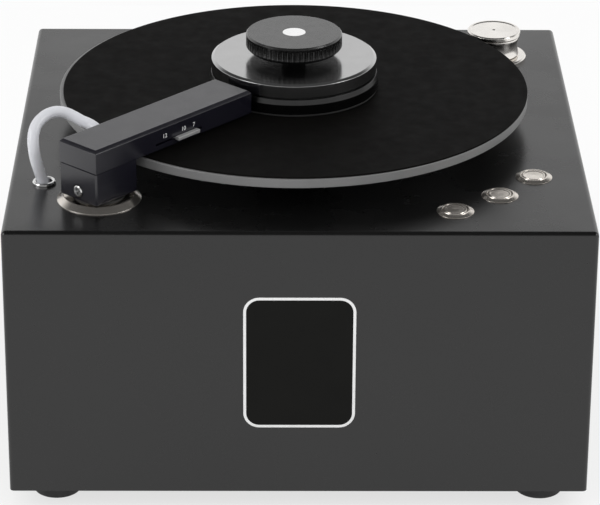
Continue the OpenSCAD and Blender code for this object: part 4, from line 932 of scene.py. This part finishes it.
# %% Nipple and socket
collar = skin("nipple_collar", placed(lathe(soften(
    [(0, -3), (4.4, -3), (4.4, -0.6), (0, -0.6)], [0, 0.3, 0.5, 0]), turns=64),
    origin=NIPPLE_FOOT, x=-ARM_X, y=(0, 0, 1), z=ARM_Y))
ball = np.radians(np.linspace(-90, 90, 25))
elbow = skin("nipple_ball", lathe(np.column_stack([3.4 * np.cos(ball), 3.4 * np.sin(ball)])
                                  .round(9), turns=48) + NIPPLE_FOOT)
stem_line = NIPPLE_FOOT + np.linspace(0, 5.9, 3)[:, None] * NIPPLE_DIR
stem = skin("nipple_stem", tube(stem_line, 3.3, 48, side=(1, 0, 0)))
nipple = joined("hose_elbow", [collar, elbow, stem])
shaded(nipple)
fit(nipple, "vacuum_arm", "nipple_steel", "hose_nipple")
socket = turned_ring("deck_socket", [
    (2, 165.7), (4, 165.7), (4, 173.7), (6, 173.7), (6, DECK), (7.35, DECK),
    (7.35, DECK + 1.2), (6.7, DECK + 2), (5.4, DECK + 2), (5, DECK + 1.6), (5, UNDER),
    (2, UNDER)], [0, 0.3, 0.2, 0.3, 0, 0.1, 0.6, 0.5, 0.3, 0.3, 0.1, 0.1], SOCKET, 96)
fit(socket, "cabinet_set", "nipple_steel", "hose_socket")

# %% [markdown]
# ## Buttons
# Each button is a machined bezel with a sloped skirt, a raised bright lip and a round cap
# that dips slightly in the middle. The three caps are separate pieces, because they travel.

# %% Bezels and caps
bezel_profile = soften(
    [(7.75, DECK - 9), (7.75, DECK + 1.55), (8.0, DECK + 1.8), (8.75, DECK + 1.8),
     (8.95, DECK + 1.45), (11.5, DECK + 0.35), (11.5, DECK), (9.5, DECK), (9.5, DECK - 30),
     (0.5, DECK - 30), (0.5, DECK - 9)][::-1],
    [0, 0, 0, 0, 0.12, 0.12, 0.15, 0.15, 0.1, 0, 0], closed=True)
bezels = joined("bezels", [skin("bezel", lathe(bezel_profile, b, 96), ends="loop")
                           for b in BUTTONS])
shaded(bezels)
fit(bezels, "cabinet_set", "button_steel", "button_bezels")
cap_profile = soften(
    [(0, DECK - 6), (7.7, DECK - 6), (7.7, DECK - 1.75), (7.3, DECK - 1.5),
     (7.3, DECK + 1.45), (7.05, DECK + 1.8), (6.2, DECK + 1.8), (5.6, DECK + 1.6),
     (0.8, DECK + 1.5), (0, DECK + 1.45)],
    [0, 0.2, 0, 0, 0.1, 0.1, 0.4, 2.0, 0, 0])
for i, (where, body) in enumerate(zip(BUTTONS, ("front_button", "middle_button",
                                                "rear_button")), 1):
    fit(skin(f"{body}_cap", lathe(cap_profile, where, 96)), body, "button_steel",
        f"button_cap_{i}")

# %% [markdown]
# ## Speed dial
# The dial is a spool: a broad disc with a bright rim and a slightly sunk face, a waist that
# curves in below it, and a flange on the deck. A small dark pit marks the centre.

# %% Dial and flange
DIAL_TOP = DECK + 20
waist = np.radians(np.linspace(-18, 18, 15))
spool = [(0, DECK + 2.7), (16.6, DECK + 2.7)]
bow = [(16.4 + 26 - 26 * cos(a), DECK + 9.4 + 26 * sin(a) * 0.82) for a in waist[1:-1]]
profile = np.vstack([spool, bow, soften(
    [(17.2, DECK + 16.2), (17.5, DECK + 16.6), (18, DECK + 17.1), (18, DIAL_TOP - 0.8),
     (17.3, DIAL_TOP), (15.9, DIAL_TOP), (15.4, DIAL_TOP - 0.4), (0.95, DIAL_TOP - 0.4),
     (0.9, DIAL_TOP - 3), (0, DIAL_TOP - 3)],
    [0, 0.2, 0.3, 0.35, 0.3, 0.3, 0.3, 0.1, 0, 0])])
dial = skin("dial_spool", lathe(profile, DIAL, 160))
fit(dial, "dial", "dial_steel", "speed_dial")
flange = turned_ring("dial_foot", [
    (4.6, DECK), (22.4, DECK), (22.4, DECK + 1.6), (21.6, DECK + 2.4), (4.6, DECK + 2.4)],
    [0, 0.1, 0.3, 0.4, 0], DIAL, 160)
fit(flange, "cabinet_set", "dial_steel", "dial_flange")

# %% [markdown]
# ## Hidden tube and the pieces of the frame
# The held tube under the deck is swept like the hose. Everything else inside and at the back
# keeps its construction mesh and takes the finish of its material. A turned finish needs the
# map of a lathe, so a node that has none takes plain bright steel.

# %% Tank tube
TANK_STEPS = [(0, 156), (0.5, 145), (3, 134), (9, 124), (18, 115), (31, 107), (48, 101),
              (68, 98), (88, 97)]
tank_box = [np.array(v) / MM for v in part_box("tank_hose")]
tank_route = np.array([(*SOCKET, 165.7)] + [(SOCKET[0], SOCKET[1] + s, z)
                                            for s, z in TANK_STEPS]
                      + [(SOCKET[0], tank_box[1][1], 97.0)])
tank_line = even_curve(tank_route, 61, first=(0, 0, -1), last=(0, 1, 0))
tank_tube = skin("tank_tube", np.concatenate([
    tube(tank_line, 4.0, side=(1, 0, 0)), tube(tank_line, 2.4, side=(1, 0, 0))[::-1]]),
    ends="loop", sharp=60)
fit(tank_tube, "cabinet_set", "silicone", "tank_hose")

# %% Finishes of the carried-over nodes
NEEDS_MAP = {"turned_steel": "steel", "nipple_steel": "steel"}
dressed = 0
for part in frame["record"]["subparts"]:
    node = frame["nodes"][part["node"]]
    slot = NEEDS_MAP.get(part["material_slot"], part["material_slot"])
    node.data.materials.clear()
    node.data.materials.append(FINISH[slot])
    dressed += not node.hide_render
print("nodes shown as they are:", dressed, "new pieces:", len(made_pieces) + 1)

# %% [markdown]
# ## Room and light
# A white floor in a white room, with one soft lamp at each side. Black lacquer shows almost
# nothing but what it mirrors, so the mirrored room matters most: it is white near the horizon
# and dim overhead, as in a studio with a dark ceiling. The camera sees it white all over, and
# as soft light it is one even level. The floor glows a little for the camera and for mirrors,
# and keeps its shadow.

# %% Rays that see the background
FLOOR_GLOW = 0.7


def ray_kinds(paint):
    """Two shares: 1 for camera rays, and 1 for mirror and see-through rays. Both are 0 for the
    rays that carry soft light."""
    path = paint.node("LightPath").outputs
    return path["Is Camera Ray"], paint.node("Math", {
        0: path["Is Glossy Ray"], 1: path["Is Transmission Ray"]},
        operation="MAXIMUM").outputs[0]


# %% Floor
floor_mesh = bpy.data.meshes.new("floor")
half = 6.0
floor_mesh.from_pydata([(-half, -half, 0), (half, -half, 0), (half, half, 0),
                        (-half, half, 0)], [], [(0, 1, 2, 3)])
floor = in_scene("floor", floor_mesh)
floor_paint = Finish("white_floor", Roughness=0.7, Specular_IOR_Level=0.2)
floor_paint.shader.inputs["Base Color"].default_value = (0.95, 0.95, 0.95, 1)
glow = floor_paint.node("Emission", {"Color": (1, 1, 1, 1), "Strength": 1.0})
seen, mirrored = ray_kinds(floor_paint)
shown = floor_paint.node("Math", {0: seen, 1: mirrored}, operation="MAXIMUM").outputs[0]
share = floor_paint.node("Math", {0: shown, 1: FLOOR_GLOW}, operation="MULTIPLY")
both = floor_paint.node("MixShader", {0: share.outputs[0],
                                      1: floor_paint.shader.outputs[0],
                                      2: glow.outputs[0]})
floor_paint.links.new(both.outputs[0], floor_paint.out.inputs[0])
floor.data.materials.append(floor_paint.material)

# %% World
class Room(Finish):
    """The world's own shader, with the same short ways to add nodes."""

    def __init__(self, name):
        self.world = bpy.data.worlds.new(name)
        self.world.use_nodes = True
        self.nodes, self.links = self.world.node_tree.nodes, self.world.node_tree.links
        self.light = self.nodes["Background"]
        self.place = self.nodes.new("ShaderNodeTexCoord").outputs["Generated"]


HAZE_LOW, HAZE_HIGH, CEILING, SOFT = sin(radians(21)), sin(radians(40)), 0.08, 0.85
room = Room("white_room")
height = room.node("SeparateXYZ", {0: room.place}).outputs[2]
wall = room.node("MapRange", {"Value": height, "From Min": HAZE_LOW, "From Max": HAZE_HIGH,
                              "To Min": 1.0, "To Max": CEILING},
                 interpolation_type="SMOOTHSTEP").outputs[0]
seen, mirrored = ray_kinds(room)
unseen = room.node("Mix", {0: mirrored, 2: SOFT, 3: wall}, data_type="FLOAT").outputs[0]
strength = room.node("Mix", {0: seen, 2: unseen, 3: 1.0}, data_type="FLOAT")
room.links.new(strength.outputs[0], room.light.inputs["Strength"])
room.light.inputs["Color"].default_value = (1, 1, 1, 1)
bpy.context.scene.world = room.world


# %% Lamps
def lamp(name, place, aim, size, power):
    """A square soft lamp that looks at a point."""
    light = bpy.data.lights.new(name, "AREA")
    light.shape, light.size, light.energy = "SQUARE", size, power
    made = in_scene(name, light)
    made.location = place
    made.rotation_euler = (Vector(aim) - Vector(place)).to_track_quat("-Z", "Y").to_euler()


lamp("left_lamp", (-1.6, -0.7, 1.2), (0, 0, 0.1), 0.9, 9)
lamp("right_lamp", (1.6, -0.5, 1.4), (0, 0, 0.1), 0.8, 8)
bpy.context.scene.view_settings.view_transform = "Standard"
